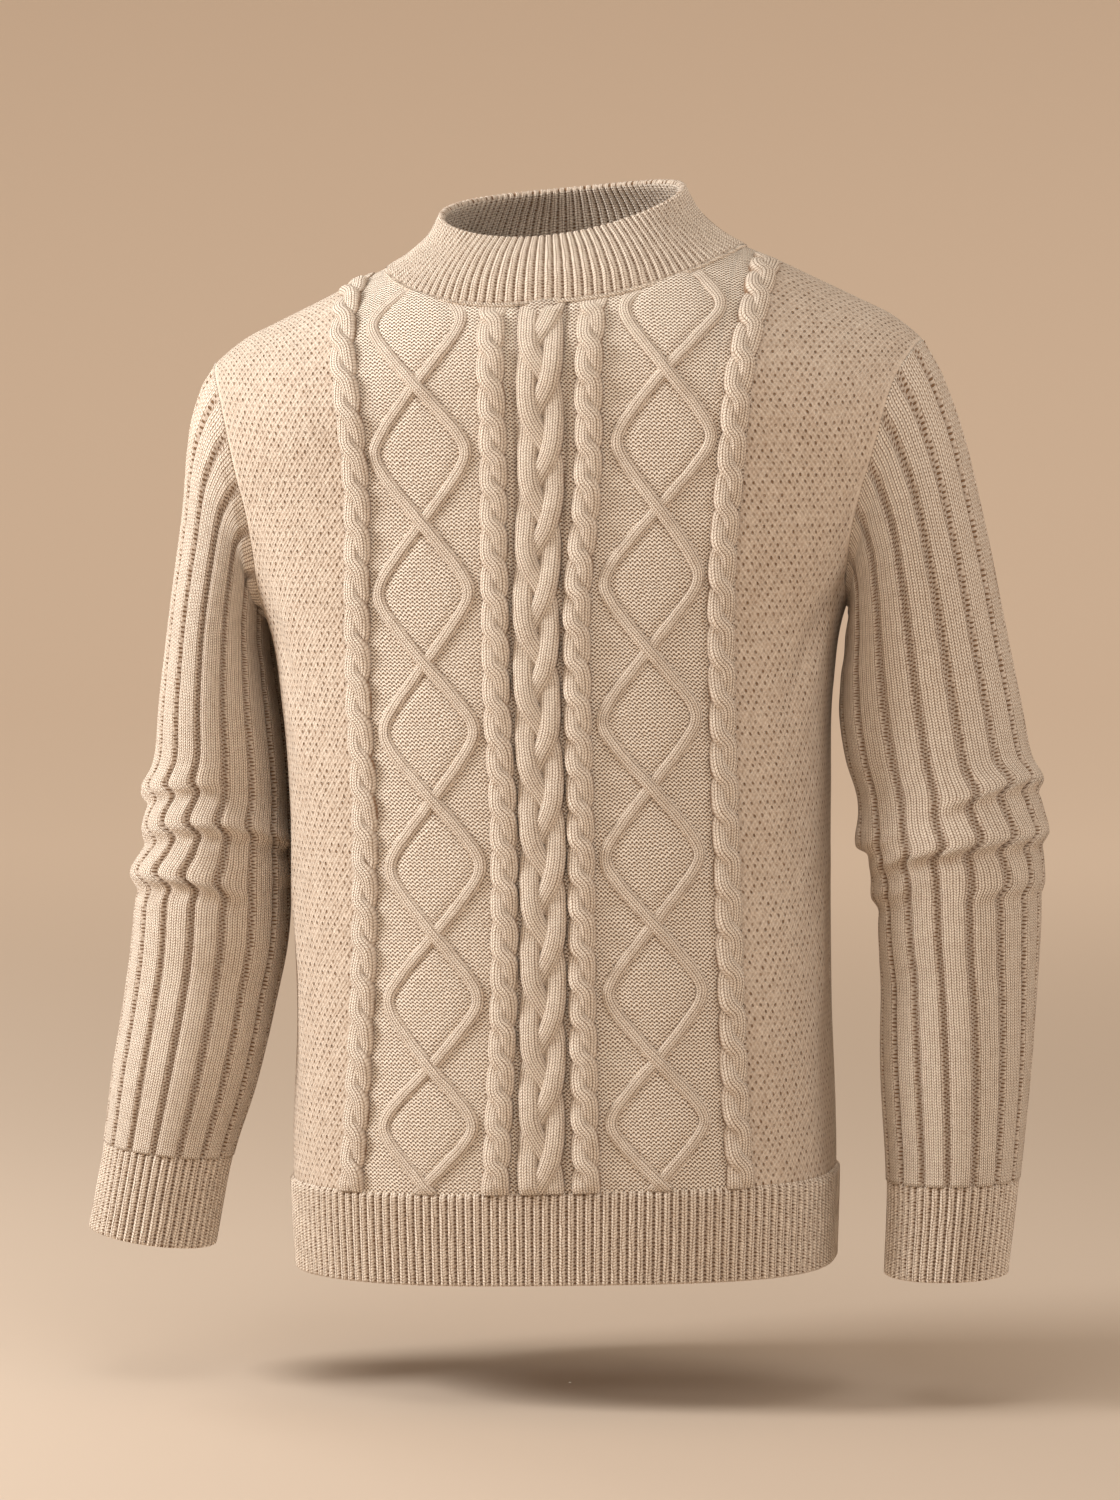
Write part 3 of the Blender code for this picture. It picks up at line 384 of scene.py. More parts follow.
def neck_edge(angle):
    """(across, up, side) on the neck opening, a superellipse seen from above; the angle runs from the
    wearer's left shoulder over the front."""
    x, front = NECK_HALF * np.cos(angle), np.sin(angle) >= 0
    y = (1 - np.abs(np.cos(angle)) ** NECK_ROUNDNESS).clip(0) ** (1 / NECK_ROUNDNESS)
    y = y * np.where(front, NECK_FRONT, NECK_BACK)
    half = body("half_width", 0.0)
    across = np.sign(x) * half * np.interp(np.abs(x) / half, SECTION_X, SECTION_LENGTH)
    up = np.empty_like(x)
    for side, rows in ((-1, front), (1, ~front)):
        _, depth, top, length = shoulder_profile(across[rows], 0.0, side)
        up[rows] = top - SHOULDER_DROP + length * np.arccos(np.clip(y[rows] / depth, 0, 1)) / (pi / 2)
    return across, up, np.where(front, -1, 1)


def on_torso(across, up, sides):
    """Points and normals of cloth places that lie partly on the front and partly on the back."""
    points, normals = np.empty(across.shape + (3,)), np.empty(across.shape + (3,))
    for side in (-1, 1):
        rows = sides == side
        points[rows] = torso(across[rows], up[rows], side)
        normals[rows] = torso_normal(across[rows], up[rows], side)
    return points, normals


print(f"chest {4 * side_seam(-0.26):.2f} m round, hem {4 * side_seam(HEM_END):.2f} m")

# %% [markdown]
# ## The edges of a panel
# To fill a panel with an even grid, each place gets two shares: s across, from side to side, and t up, from
# the hem band to the shoulder seam or the neck. The edge curves turn those shares into cloth places. The same
# curves trim the cables where they run into a seam.
# %% Panel edges and places
EDGE_POINTS = dict(seam=60, armhole=400, neck=300, shoulder=60)


class Panel:
    """Edges of the front (side -1) or the back (side 1), and places between them."""

    def __init__(self, side):
        """The side edge from the hem up, then the upper edge from the middle out, each as a fine curve."""
        self.side = side
        seam_up = np.linspace(HEM_TOP, UNDERARM, EDGE_POINTS["seam"])[:-1]
        arm_across, arm_up = armhole_edge(np.linspace(1, 0, EDGE_POINTS["armhole"]), side)
        self.edge_up = np.concatenate([seam_up, arm_up])
        self.edge_across = np.concatenate([side_seam(seam_up), arm_across])
        neck_across, neck_up, _ = neck_edge(-side * np.linspace(pi / 2, 1e-6, EDGE_POINTS["neck"]))
        shoulder_across = np.linspace(neck_across[-1], ARMHOLE["across"][0], EDGE_POINTS["shoulder"])[1:]
        self.top_across = np.concatenate([neck_across, shoulder_across])
        self.top_up = np.concatenate([neck_up, shoulder_edge(shoulder_across, side)])
        self.top_share = self.top_across / self.limit(self.top_up)

    def limit(self, up):
        """Cloth from the middle to the panel's side edge."""
        return np.interp(up, self.edge_up, self.edge_across)

    def top(self, across):
        """Height of the panel's upper edge."""
        return np.interp(np.abs(across), self.top_across, self.top_up)

    def places(self, s, t):
        """(across, up), s of the way to the side edge and t of the way from the hem to the upper edge."""
        up = HEM_TOP + t * (np.interp(np.abs(s), self.top_share, self.top_up) - HEM_TOP)
        return s * self.limit(up), up

    def to_edge(self, across, up):
        """Distance to the side edge or the upper edge, whichever is nearer, roughly."""
        return np.minimum(self.limit(up) - np.abs(across), self.top(across) - up)


FRONT, BACK = Panel(-1), Panel(1)
print(f"front: {2 * FRONT.edge_across.max():.3f} m across, {FRONT.top_up.max() - HEM_TOP:.3f} m long")

# %% [markdown]
# ## Wool
# Undyed wool is matte and a little fuzzy. Its colour comes less from dye than from light that sinks between
# the stitches, so the shader works out the stitches first, from the piece's own UV map counted in stitches,
# and uses their height twice: as bump, and to paint shade into the gaps. Writing the maths as Python
# expressions keeps a stitch readable: two legs a column, a row of purl bumps, a moss pattern of small holes.
# %% Shader values that Python's operators work on
def maths(operation):
    """A function of one or two values that adds a Math node for them."""
    def result(*values):
        return values[0].wool.add("ShaderNodeMath", {"operation": operation}, dict(enumerate(values)))
    return result


fraction, sine, larger = maths("FRACT"), maths("SINE"), maths("MAXIMUM")


class Value:
    """A socket in a wool's node tree."""
    __add__ = __radd__ = maths("ADD")
    __mul__ = __rmul__ = maths("MULTIPLY")
    __sub__, __pow__, __abs__ = maths("SUBTRACT"), maths("POWER"), maths("ABSOLUTE")

    def __init__(self, wool, socket):
        self.wool, self.socket = wool, socket

    def __rsub__(self, other):
        return self * -1 + other


class Wool:
    """A material and its nodes."""

    def __init__(self, name):
        self.material = bpy.data.materials.new(name)
        self.material.use_nodes = True
        self.tree = self.material.node_tree
        self.shader = self.tree.nodes["Principled BSDF"]

    def add(self, kind, settings, inputs, output=0):
        """A new node: its type, its settings, and the values or links of its sockets."""
        node = self.tree.nodes.new(kind)
        for name, value in settings.items():
            setattr(node, name, value)
        self.feed(node, inputs)
        return Value(self, node.outputs[output])

    def feed(self, node, inputs):
        """Link a node's inputs to values, or set them to plain numbers."""
        for key, value in inputs.items():
            if isinstance(value, Value):
                self.tree.links.new(value.socket, node.inputs[key])
            else:
                node.inputs[key].default_value = value

    def stitch_places(self):
        """The UV map's two coordinates, in columns and rows of stitches."""
        place = self.add("ShaderNodeUVMap", {"uv_map": "stitches"}, {})
        return [self.add("ShaderNodeSeparateXYZ", {}, {0: place}, axis) for axis in (0, 1)]

    def mark(self, name):
        """What the mesh says about each of its points, such as how much painted shade it gets down in a
        hollow.
        """
        return self.add("ShaderNodeAttribute", {"attribute_name": name}, {}, 2)

    def noise(self, scale, detail=2.0):
        """Noise in the piece's own space, about 0.5 on average."""
        place = self.add("ShaderNodeTexCoord", {}, {}, 3)
        return self.add("ShaderNodeTexNoise", {}, {"Vector": place, "Scale": scale, "Detail": detail})

    def mixed(self, share, first, second):
        """The first colour where share is 0, the second where it is 1."""
        return self.add("ShaderNodeMix", {"data_type": "RGBA"}, {0: share, 6: first, 7: second}, 2)

    def between(self, value, low, high):
        """0 where the value is below low, 1 above high, a soft step between."""
        return self.add("ShaderNodeMapRange", {"interpolation_type": "SMOOTHSTEP"},
                        {"Value": value, "From Min": low, "From Max": high})


# %% Stitches, as heights at a place counted in columns and rows: 1 on top, less down in the gaps
def knit(wool, u, v):
    """Columns of two legs, with a crease beside every leg, deeper between columns; a leg is a row of lumps
    that slant up and out."""
    aside, beside = abs(fraction(u) - 0.5) * 2, abs(fraction(u * 2) - 0.5) * 2
    between_lumps = abs(fraction(v - aside * 0.7) * 2 - 1)
    return 1 - beside ** 4 * 0.8 - aside ** 4 * 0.3 - between_lumps ** 2 * 0.6


def purl(wool, u, v):
    """Bumps that interlock like bricks. The dark dots between them lie where two sines meet, one across and
    one up, so that each row's are half a step on."""
    u, v = u * (2 * pi * PURL_COLUMNS), v * (2 * pi * PURL_ROWS)
    dots = sine(u + v * 0.12) * sine(v) + sine(v + 0.8) * 0.22
    return 1 - wool.between(dots, 0.0, 0.75) * 1.75


def moss(wool, u, v):
    """Moss: bumps so even that little shows but the small holes between them, placed as the dots of purl are,
    and a soft bar between two rows of holes."""
    u, v = u * (2 * pi / MOSS_COLUMNS), v * (2 * pi / MOSS_ROWS)
    holes = wool.between(sine(u + v * 0.25) * sine(v), 0.45, 1.0) * (wool.noise(140.0) * 2.4 - 0.5)
    return sine(u * 2) * sine(v * 2 + 0.7) * 0.16 + 0.40 - holes * 0.78


PURL_COLUMNS = 0.742     # purl bumps for each knit column, as purl spreads
PURL_ROWS = 0.742
MOSS_COLUMNS = 2.5       # knit columns from hole to hole
MOSS_ROWS = 4.3          # and knit rows in two rows of holes


# %% The wool itself
FLEECE = (0.90, 0.80, 0.68, 1)         # where the light falls on a stitch
GAP_SHADE = (0.27, 0.155, 0.080, 1)          # painted shade, down between two stitches
HOLLOW_SHADE = (0.20, 0.107, 0.052, 1)       # painted shade, down in a groove between two ribs or cables
CLOUD, TUFT, FLECK = 9.0, 150.0, 420.0     # scales of the noise in the wool's colour, from broad to fine
PUSH_ACROSS, PUSH_UP = 62.0, 75.0          # and of the noise that pushes stitches about


def wool(name, pattern, depth, gap_shade_share, uneven):
    """A wool material. pattern(wool, u, v) gives the height of its stitches, depth how deep they are. Noise
    pushes the stitches about, because real rows are uneven. What lies low gets painted shade, by
    gap_shade_share."""
    w = Wool(name)
    u, v = w.stitch_places()
    height = pattern(w, u + (w.noise(PUSH_ACROSS) - 0.5) * uneven, v + (w.noise(PUSH_UP) - 0.5) * uneven)
    cloud, tuft, fleck = w.noise(CLOUD), w.noise(TUFT, 3.0), w.noise(FLECK, 3.0)
    # painted shade between the stitches, (1 - height) times gap_shade_share, plus noise that varies the
    # wool's own tone
    gap = (1 - height) * gap_shade_share + (fleck - 0.5) * 0.35 + (tuft - 0.5) * 0.35 + (cloud - 0.5) * 0.16
    colour = w.mixed(larger(gap, 0), FLEECE, GAP_SHADE)
    # painted shade in grooves, beside the cables and along strand edges, from the hollow mark
    colour = w.mixed(w.mark("hollow") * 0.6, colour, HOLLOW_SHADE)
    bump = w.add("ShaderNodeBump", {}, {"Strength": 1.0, "Distance": depth, "Height": height + fleck * 0.6})
    w.feed(w.shader, {"Base Color": colour, "Normal": bump, "Roughness": 0.92, "Specular IOR Level": 0.25,
                      "Sheen Weight": 0.22, "Sheen Roughness": 0.55, "Sheen Tint": (1.0, 0.95, 0.89, 1)})
    return w.material


def ground_pattern(w, u, v):
    """Purl in the middle of the front, moss at its sides, and a smooth strip along the armholes."""
    side, strip = w.mark("moss"), w.mark("strip")
    return (purl(w, u, v) * (1 - side) + moss(w, u, v) * side) * (1 - strip) + strip * 0.5


def ribbed_pattern(w, u, v):
    """Knit on the ribs, purl down in the grooves."""
    # the painted-shade mark also tells where the purl grooves lie
    groove = w.mark("hollow")
    return knit(w, u, v) * (1 - groove) + purl(w, u, v) * groove


knit_wool = wool("knit_wool", knit, depth=0.0007, gap_shade_share=0.84, uneven=0.7)
ground_wool = wool("ground_wool", ground_pattern, depth=0.0018, gap_shade_share=0.77, uneven=1.6)
ribbed_wool = wool("ribbed_wool", ribbed_pattern, depth=0.0007, gap_shade_share=0.97, uneven=0.5)
print("wools:", knit_wool.name, ground_wool.name, ribbed_wool.name)

# %% [markdown]
# ## Front: the ground
# Behind the cables the front is purl knitting, with a moss panel at each side. The ground is one wall with
# the panel's outline. It sinks a little beside the braid, swells inside each diamond, and dips where it is
# sewn.
# %% Where the cables run
KNIT_COLUMN = 0.0023     # width of one column of stitches
KNIT_ROW = 0.0019        # height of one row
PATTERN = table("""
    height rope_in lattice rope_out
    -0.620 0.0300 0.0775 0.1310
    -0.550 0.0275 0.0750 0.1255
    -0.490 0.0255 0.0730 0.1225
    -0.420 0.0250 0.0712 0.1200
    -0.360 0.0250 0.0712 0.1190
    -0.295 0.0262 0.0725 0.1200
    -0.230 0.0268 0.0742 0.1200
    -0.166 0.0303 0.0780 0.1220
    -0.100 0.0318 0.0815 0.1280
    -0.050 0.0328 0.0840 0.1350
    0.060 0.0340 0.0860 0.1370""")
ROPE = dict(swing=0.0039, strand=0.0058, lift=0.0021, rise=0.0034, snap=0.6, step=0.0015)
ROPE_CROSSING = dict(rope_in=0.0232, rope_out=0.0248)
ROPE_START = dict(rope_in=-0.2625, rope_out=-0.2650)
BRAID = dict(swing=0.0087, strand=0.0071, lift=0.0021, rise=0.0036, snap=0.75, step=0.0014, period=0.138,
             start=-0.2625, bed=0.0018, bed_reach=0.0110, bed_edge=0.004)
LATTICE_SWING = 0.0305
LATTICE_CORNER = 0.93    # below 1 rounds the corners of the diamonds
LATTICE_BAND = 0.0085    # width of one band
LATTICE_RISE = 0.0030    # and its height
LATTICE_CROSSINGS = (-0.690, -0.611, -0.532, -0.4445, -0.356, -0.2675, -0.176, -0.086, 0.004, 0.094)


def middle_of(name, up):
    """Distance of a rope's or a lattice's middle from the middle of the front."""
    return smooth(up, PATTERN["height"], PATTERN[name])


def snapped(wave, snap):
    """A wave between -1 and 1 with flatter tops and, where snap is small, quicker passes through 0."""
    return wave * np.sqrt((1 + snap ** 2) / (wave ** 2 + snap ** 2))


def lattice_path(up):
    """Sideways swing of one lattice band: a zigzag with rounded corners through the crossings."""
    phase = np.interp(up, LATTICE_CROSSINGS, np.arange(len(LATTICE_CROSSINGS)))
    return LATTICE_SWING * np.arcsin(LATTICE_CORNER * np.sin(pi * phase)) / np.arcsin(LATTICE_CORNER)


# %% The ground's relief
SEAM_DIP = 0.0004        # how far cloth sinks at a seam
SEAM_REACH = 0.0035
STRIP = 0.0028           # smooth strip beside the armhole
STRIP_EDGE = 0.002       # over which the strip goes over into moss
MOSS_START = 0.0070      # from the middle of the outer rope to the moss
MOSS_EDGE = 0.003        # over which purl goes over into moss
GROOVE = dict(place=0.0164, half_width=0.0013, depth=0.0016)      # beside the braid
SWELL = 0.0016           # of the ground inside a diamond
SWELL_REACH = 0.014      # from the diamond's edge to its full height
FOLD_BEND = 0.25         # how much a fold curves along its length
BODY_FOLDS = table("""
    across up slant length half_width depth
    0.188 -0.275 62 0.075 0.0100 0.0035
    0.172 -0.325 70 0.060 0.0120 -0.0022
    -0.190 -0.268 118 0.070 0.0095 0.0032
    -0.176 -0.318 108 0.065 0.0120 -0.0022
    0.215 -0.545 84 0.060 0.0130 0.0022
    -0.212 -0.520 96 0.075 0.0130 0.0024
    -0.205 -0.430 99 0.055 0.0110 -0.0018
    0.209 -0.445 80 0.050 0.0110 -0.0018""")


def folds_on_body(across, up):
    """Soft troughs and ridges: each is a long bell lying at its own slant, in degrees from level."""
    depth = np.zeros(np.broadcast(across, up).shape)
    for a, u, slant, length, half_width, deep in zip(*BODY_FOLDS.values()):
        east, north = np.cos(np.radians(slant)), np.sin(np.radians(slant))
        along = (across - a) * east + (up - u) * north
        aside = (up - u) * east - (across - a) * north + FOLD_BEND * along ** 2 / length
        depth += deep * bell(along / length) * bell(aside / half_width)
    return depth


def seam_dip(distance):
    """A soft step down to the seam, over SEAM_REACH."""
    return SEAM_DIP * (1 - ramp(distance / SEAM_REACH))


def moss_share(across, up):
    """1 in the moss panels, 0 in the middle."""
    return ramp((np.abs(across) - middle_of("rope_out", up) - MOSS_START) / MOSS_EDGE)


def strip_share(across, up):
    """1 within STRIP of the armhole, above the underarm."""
    near_edge = 1 - ramp((FRONT.limit(up) - np.abs(across) - STRIP) / STRIP_EDGE)
    return moss_share(across, up) * ramp((up - UNDERARM) / 0.01) * near_edge


def beside_braid(across):
    """1 in the middle of the groove on each side of the braid."""
    return bell((np.abs(across) - GROOVE["place"]) / GROOVE["half_width"])


def under_braid(across):
    """1 under the braid, where the ground is lifted so that no deep gap shows between its strands."""
    return ramp((BRAID["bed_reach"] - np.abs(across)) / BRAID["bed_edge"])


def ground_height(across, up):
    """Height of the ground that strands rest on: the swell inside a diamond less groove, folds and seam."""
    off = np.abs(np.abs(across) - middle_of("lattice", up))
    inside = ramp((np.abs(lattice_path(up)) - off) / SWELL_REACH)
    return (inside * SWELL - GROOVE["depth"] * beside_braid(across) - folds_on_body(across, up)
            - seam_dip(FRONT.to_edge(across, up)))


def ground_relief(across, up):
    """Height of the ground that shows, with the bed under the braid."""
    return ground_height(across, up) + BRAID["bed"] * under_braid(across)


# %% Build the ground
GROUND_ROWS = 289        # points up
GROUND_MIDDLE, GROUND_SIDE = 96, 108     # cells across the middle and across each side
MIDDLE_SHARE = 0.50      # share of the half panel that the middle's cells cover
PANEL_STEPS = (4, 4)     # cells outside for each one inside
ROPE_SHADE = 0.0102      # half the width of the painted shade on the ground under a rope
GROUND_SHADE = dict(groove=0.8, bed=0.5, rope=0.25)    # painted shade on the ground beside and under the cables: how dark it is


def panel_wall(name, panel, s, rows, relief, marks, material):
    """A panel's wall: relief(across, up) raises its outside, marks(across, up) gives its attributes."""
    s, t = np.meshgrid(s, np.linspace(0, 1, rows))
    across, up = panel.places(s, t)
    base, normal = torso(across, up, panel.side), torso_normal(across, up, panel.side)
    outside = base + normal * relief(across, up)[..., None]
    inside = base - normal * (WALL + folds_on_body(across, up))[..., None]
    uv = pairs(across / KNIT_COLUMN, up / KNIT_ROW)
    return make_piece(name, [wall(outside, inside, uv, marks(across, up), PANEL_STEPS)], material)


def ground_marks(across, up):
    """Painted shade beside and under the braid and under the ropes, and where moss and the smooth strip are.
    """
    near = [np.exp(-((np.abs(across) - middle_of(name, up)) / ROPE_SHADE) ** 4) * GROUND_SHADE["rope"]
            for name in ("rope_in", "rope_out")]
    groove, bed = beside_braid(across) * GROUND_SHADE["groove"], under_braid(across) * GROUND_SHADE["bed"]
    return dict(hollow=np.maximum.reduce([groove, bed, *near]), moss=moss_share(across, up),
                strip=strip_share(across, up))


half_s = np.concatenate([np.linspace(0, MIDDLE_SHARE, GROUND_MIDDLE // 2, endpoint=False),
                         np.linspace(MIDDLE_SHARE, 1, GROUND_SIDE + 1)])
front_s = np.concatenate([-half_s[:0:-1], half_s])
front = panel_wall("front_ground", FRONT, front_s, GROUND_ROWS, ground_relief, ground_marks, ground_wool)
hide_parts("front")

# %% [markdown]
# ## Front: ropes, braid and lattice
# A cable is made by lifting stitches over their neighbours, so each strand is a thick little band that passes
# over and under. One height map of the front could only keep the upper strand. Here every strand is its own
# cord, carried along a path on the cloth and trimmed at the seams, with its columns of stitches on its back
# and its underside sunk in the ground.
# %% A strand on the front
STRAND_POINTS = 15       # across the back of a strand
UNDERSIDE = (0.7, -0.7)  # where the two points lie that close it below, from edge to edge
SINK = 0.0016            # of those points below the ground
EDGE_SINK = 0.0004       # and of its two edges
HIGHEST = 0.1            # above every seam
PAST_SEAM = 0.004        # a strand is worked out to this far past its seam, and then trimmed
TRIM = 0.0007            # from a trimmed end to the seam
HEM_REACH = 0.006        # a strand sinks to the height of the hem's ribs over this length
TOP_REACH = 0.010        # a strand ends over this length before its upper seam
SETTLE = 0.050           # and loses some of its height over this one
AT_SHOULDER, AT_NECK, AT_HEM = 0.15, 0.6, 0.6     # shares of its height that it keeps there


def strand(across, up, lift, half_width, rise, columns, dark=0.9):
    """A strand of knitting along (across, up), this many columns wide. Round its section: the back is flat
    with rounded edges, rise high; two points close the underside. lift raises the whole section, and dark
    tells how much painted shade its edges get."""
    along = unit(np.gradient(np.stack([across, up], -1), axis=0))
    even = np.linspace(-1, 1, STRAND_POINTS)
    side = 1.25 * even - 0.25 * even ** 3      # closer together at the edges
    off = np.append(side, UNDERSIDE)
    swell = (1 - np.abs(side) ** 3) ** 0.6
    back = lift[:, None] * np.sqrt(swell) + rise * swell - EDGE_SINK
    height = np.hstack([back, np.full((len(up), len(UNDERSIDE)), -SINK)])
    reach = np.multiply.outer(half_width, off)
    a, u = across[:, None] + along[:, 1:] * reach, up[:, None] - along[:, :1] * reach
    top = FRONT.top(a) - TRIM
    settled = grown(np.where(np.abs(a) > NECK_HALF, AT_SHOULDER, AT_NECK), ramp((top - u) / SETTLE))
    hem = grown(AT_HEM, ramp((u - HEM_TOP) / HEM_REACH))
    height *= np.where(height > 0, ramp((top - u) / TOP_REACH) * settled * hem, 1)
    u = np.clip(u, HEM_TOP + TRIM, top)
    height += ground_height(a, u) * np.abs(off)
    points = torso(a, u, -1) + torso_normal(a, u, -1) * height[..., None]
    length = travelled(np.hypot(np.diff(across), np.diff(up)))
    uv = pairs(np.append((off + 1) / 2 * columns, 0), length[:, None] / KNIT_ROW)
    # painted shade along the strand's two edges and on its underside
    edge = np.append(np.abs(side) ** 6, np.ones(len(UNDERSIDE)))
    return rope_body(points, uv, dict(hollow=edge * dark))


def strand_heights(step, across):
    """Heights up the front at which a strand is worked out: from the hem band to its upper seam."""
    up = np.arange(HEM_TOP, HIGHEST, step)
    return up[np.cumprod(up < FRONT.top(across(up)) + PAST_SEAM) > 0]


# %% Ropes: two strands that swing from side to side and cross, always the same one on top
def rope_strand(name, hand, turned):
    """One strand of a rope: it swings with a cosine and rises with a sine, half a turn from its neighbour,
    and is a little wider where the two cross."""
    def phase(up):
        return pi * (up - ROPE_START[name]) / ROPE_CROSSING[name] + turned

    def across(up):
        return hand * middle_of(name, up) + ROPE["swing"] * snapped(np.cos(phase(up)), ROPE["snap"])

    up = strand_heights(ROPE["step"], across)
    wave = np.cos(phase(up))
    lift = ROPE["lift"] * (1 + np.sin(phase(up)))
    return strand(across(up), up, lift, ROPE["strand"] * (1.02 - 0.04 * wave ** 2), ROPE["rise"], columns=3)


ropes = make_piece("ropes", [rope_strand(name, hand, turned) for name in ("rope_in", "rope_out")
                             for hand in (-1, 1) for turned in (0, pi)], knit_wool)


# %% Braid: three strands, a third of a turn apart, each on top while it moves inwards
def braid_strand(turned):
    """One strand of the braid: it swings once while it rises twice."""
    def phase(up):
        return 2 * pi * (BRAID["start"] - up) / BRAID["period"] + turned

    def across(up):
        return BRAID["swing"] * snapped(np.sin(phase(up)), BRAID["snap"])

    up = strand_heights(BRAID["step"], across)
    lift = BRAID["lift"] * (1 - np.sin(2 * phase(up)))
    return strand(across(up), up, lift, BRAID["strand"], BRAID["rise"], columns=4)


braid = make_piece("braid", [braid_strand(turned) for turned in (0, 2 * pi / 3, 4 * pi / 3)], knit_wool)


# %% Lattice: two zigzag bands a side; where they cross, the one that leans to the upper left is on top
LATTICE_OVER = 0.0014    # how far the upper band is lifted
LATTICE_STEP = 0.0018


def lattice_band(hand, band):
    """One zigzag band, lifted in a bell round each crossing where it is on top; an average of five neighbours
    softens the lift."""
    def across(up):
        return hand * middle_of("lattice", up) + band * lattice_path(up)

    up = strand_heights(LATTICE_STEP, across)
    path = across(up)
    lift = LATTICE_OVER * bell(lattice_path(up) / LATTICE_BAND) * (np.gradient(path, up) < 0)
    lift = np.convolve(np.pad(lift, 2, mode="edge"), np.ones(5) / 5, "valid")
    return strand(path, up, lift, LATTICE_BAND / 2, LATTICE_RISE, columns=2.5, dark=0.5)


lattice = make_piece("lattice", [lattice_band(hand, band) for hand in (-1, 1) for band in (-1, 1)], knit_wool)
for cable in (ropes, braid, lattice):
    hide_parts("front")

# %% [markdown]
# ## Back
# The back has the same outline with a higher neck, in plain knit stitches, with the same soft troughs as the
# front, mirrored in depth.
# %% Build the back
BACK_ROWS, BACK_COLUMNS = 161, 201       # points up and across


def back_height(across, up):
    """The front's folds, mirrored in depth, and the dip at the seams."""
    return -folds_on_body(-across, up) - seam_dip(BACK.to_edge(across, up))


def back_marks(across, up):
    """No painted shade anywhere."""
    return dict(hollow=np.zeros(across.shape))


back_s = np.linspace(-1, 1, BACK_COLUMNS)
back = panel_wall("back_panel", BACK, back_s, BACK_ROWS, back_height, back_marks, knit_wool)
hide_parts("back")

# %% [markdown]
# ## Ribbed bands: hem, cuffs and collar
# In a rib, knit columns stand up and purl columns fall back between them. A rounded wave round the band gives
# that section. Its free edge rolls over to the inside, like a real bound edge, instead of ending in a cut.
# %% Ribs and rolled edges
ROLL = np.radians((0, 25, 50, 80))     # how far the last rows of a free edge have turned over
# the hollow column is painted shade round a fine rib, darkest in its groove, and also places purl there
FINE_RIB = table("""
    place height hollow
    0.00 0.00 1.00
    0.12 0.12 0.90
    0.21 0.80 0.10
    0.50 1.00 0.00
    0.79 0.80 0.10
    0.88 0.12 0.90""")
RIB_START = 0.0016       # a band's ribs rise over this length from its seam
AT_SEAM = 0.35           # share of their height that they have at the seam
TUCK = 0.0005            # and how far the seam is pulled in
LAP = 0.0012             # a band starts this far inside the neighbouring piece, which hides the seam


def rib_places(ribs, section):
    """Places round a band, 0 to 1, of the points that draw its ribs. section gives them for one rib."""
    return (np.arange(ribs)[:, None] + section["place"]).ravel() / ribs


def along_rings(rings):
    """Length of a tube up to each of its rings."""
    return travelled(np.linalg.norm(np.diff(rings, axis=0), axis=-1).mean(1))


def tube_wall(name, outside, inside, length, ribs, section, columns, steps, dark=1.0):
    """A ribbed tube from the grids of its two faces. Its stitches are counted in columns a rib and in rows
    along its length; dark tells how much painted shade its grooves get."""
    uv = pairs(ribs * columns * np.append(rib_places(ribs, section), 1), -length[:, None] / KNIT_ROW)
    marks = dict(hollow=np.broadcast_to(np.tile(section["hollow"], ribs) * dark, outside.shape[:2]))
    return make_piece(name, [wall(outside, inside, uv, marks, steps, closed=True)], ribbed_wool)


def ribbed_band(name, base, normal, down, ribs, rise, inner_rise, steps, dark=1.0):
    """A finely ribbed tube. base and normal are (rows, columns, 3) grids, the last row at the free edge; down
    is the direction in which that edge points. Rows are added there that roll over by the angles in ROLL."""
    extra = len(ROLL) - 1
    base, normal = (np.concatenate([grid, np.repeat(grid[-1:], extra, 0)]) for grid in (base, normal))
    turn = np.append(np.zeros(len(base) - extra), ROLL[1:])[:, None]
    out, fall = WALL / 2 * (np.cos(turn) - 1), down * (WALL / 2 * np.sin(turn))[..., None]
    length = along_rings(base)
    deep = ramp(length / RIB_START)[:, None]
    ribbing = np.tile(FINE_RIB["height"], ribs) * np.cos(turn)
    lift = rise * ribbing * grown(AT_SEAM, deep) - (1 - deep) * TUCK
    outside = base + normal * (out + lift)[..., None] + fall
    inside = base - normal * (WALL + out + inner_rise * ribbing)[..., None] + fall
    return tube_wall(name, outside, inside, length, ribs, FINE_RIB, 1, steps, dark)


# %% Hem band
HEM_RIBS = 176
HEM_ROWS = 26


def hem_base():
    """Points and normals of the hem band down from its seam. Round the body they run across the front to the
    wearer's left, then back across the back."""
    heights = np.append(HEM_TOP + LAP, np.linspace(HEM_TOP - LAP, HEM_END, HEM_ROWS - 1))[:, None]
    place = rib_places(HEM_RIBS, FINE_RIB)
    across = np.where(place < 0.5, 4 * place - 1, 3 - 4 * place) * side_seam(heights)
    sides = np.broadcast_to(np.where(place < 0.5, -1, 1), across.shape)
    return on_torso(across, np.broadcast_to(heights, across.shape), sides)


hem = ribbed_band("hem_rib", *hem_base(), np.array([0, 0, -1.0]), HEM_RIBS,
                  rise=0.0024, inner_rise=0.0005, steps=(4, 3))
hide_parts("hem_band")

# %% [markdown]
# ## Collar
# The funnel collar narrows from the neck opening to a tilted oval rim. It is worked out the way the solids
# are, ring by ring, and ribbed on both sides, because its inside shows. A linked row hides its lowest edge.
# %% Collar
COLLAR_RIBS = 112
COLLAR_ROWS = 34
TURNED = 0.45            # part of its height over which it turns away from the body's cloth


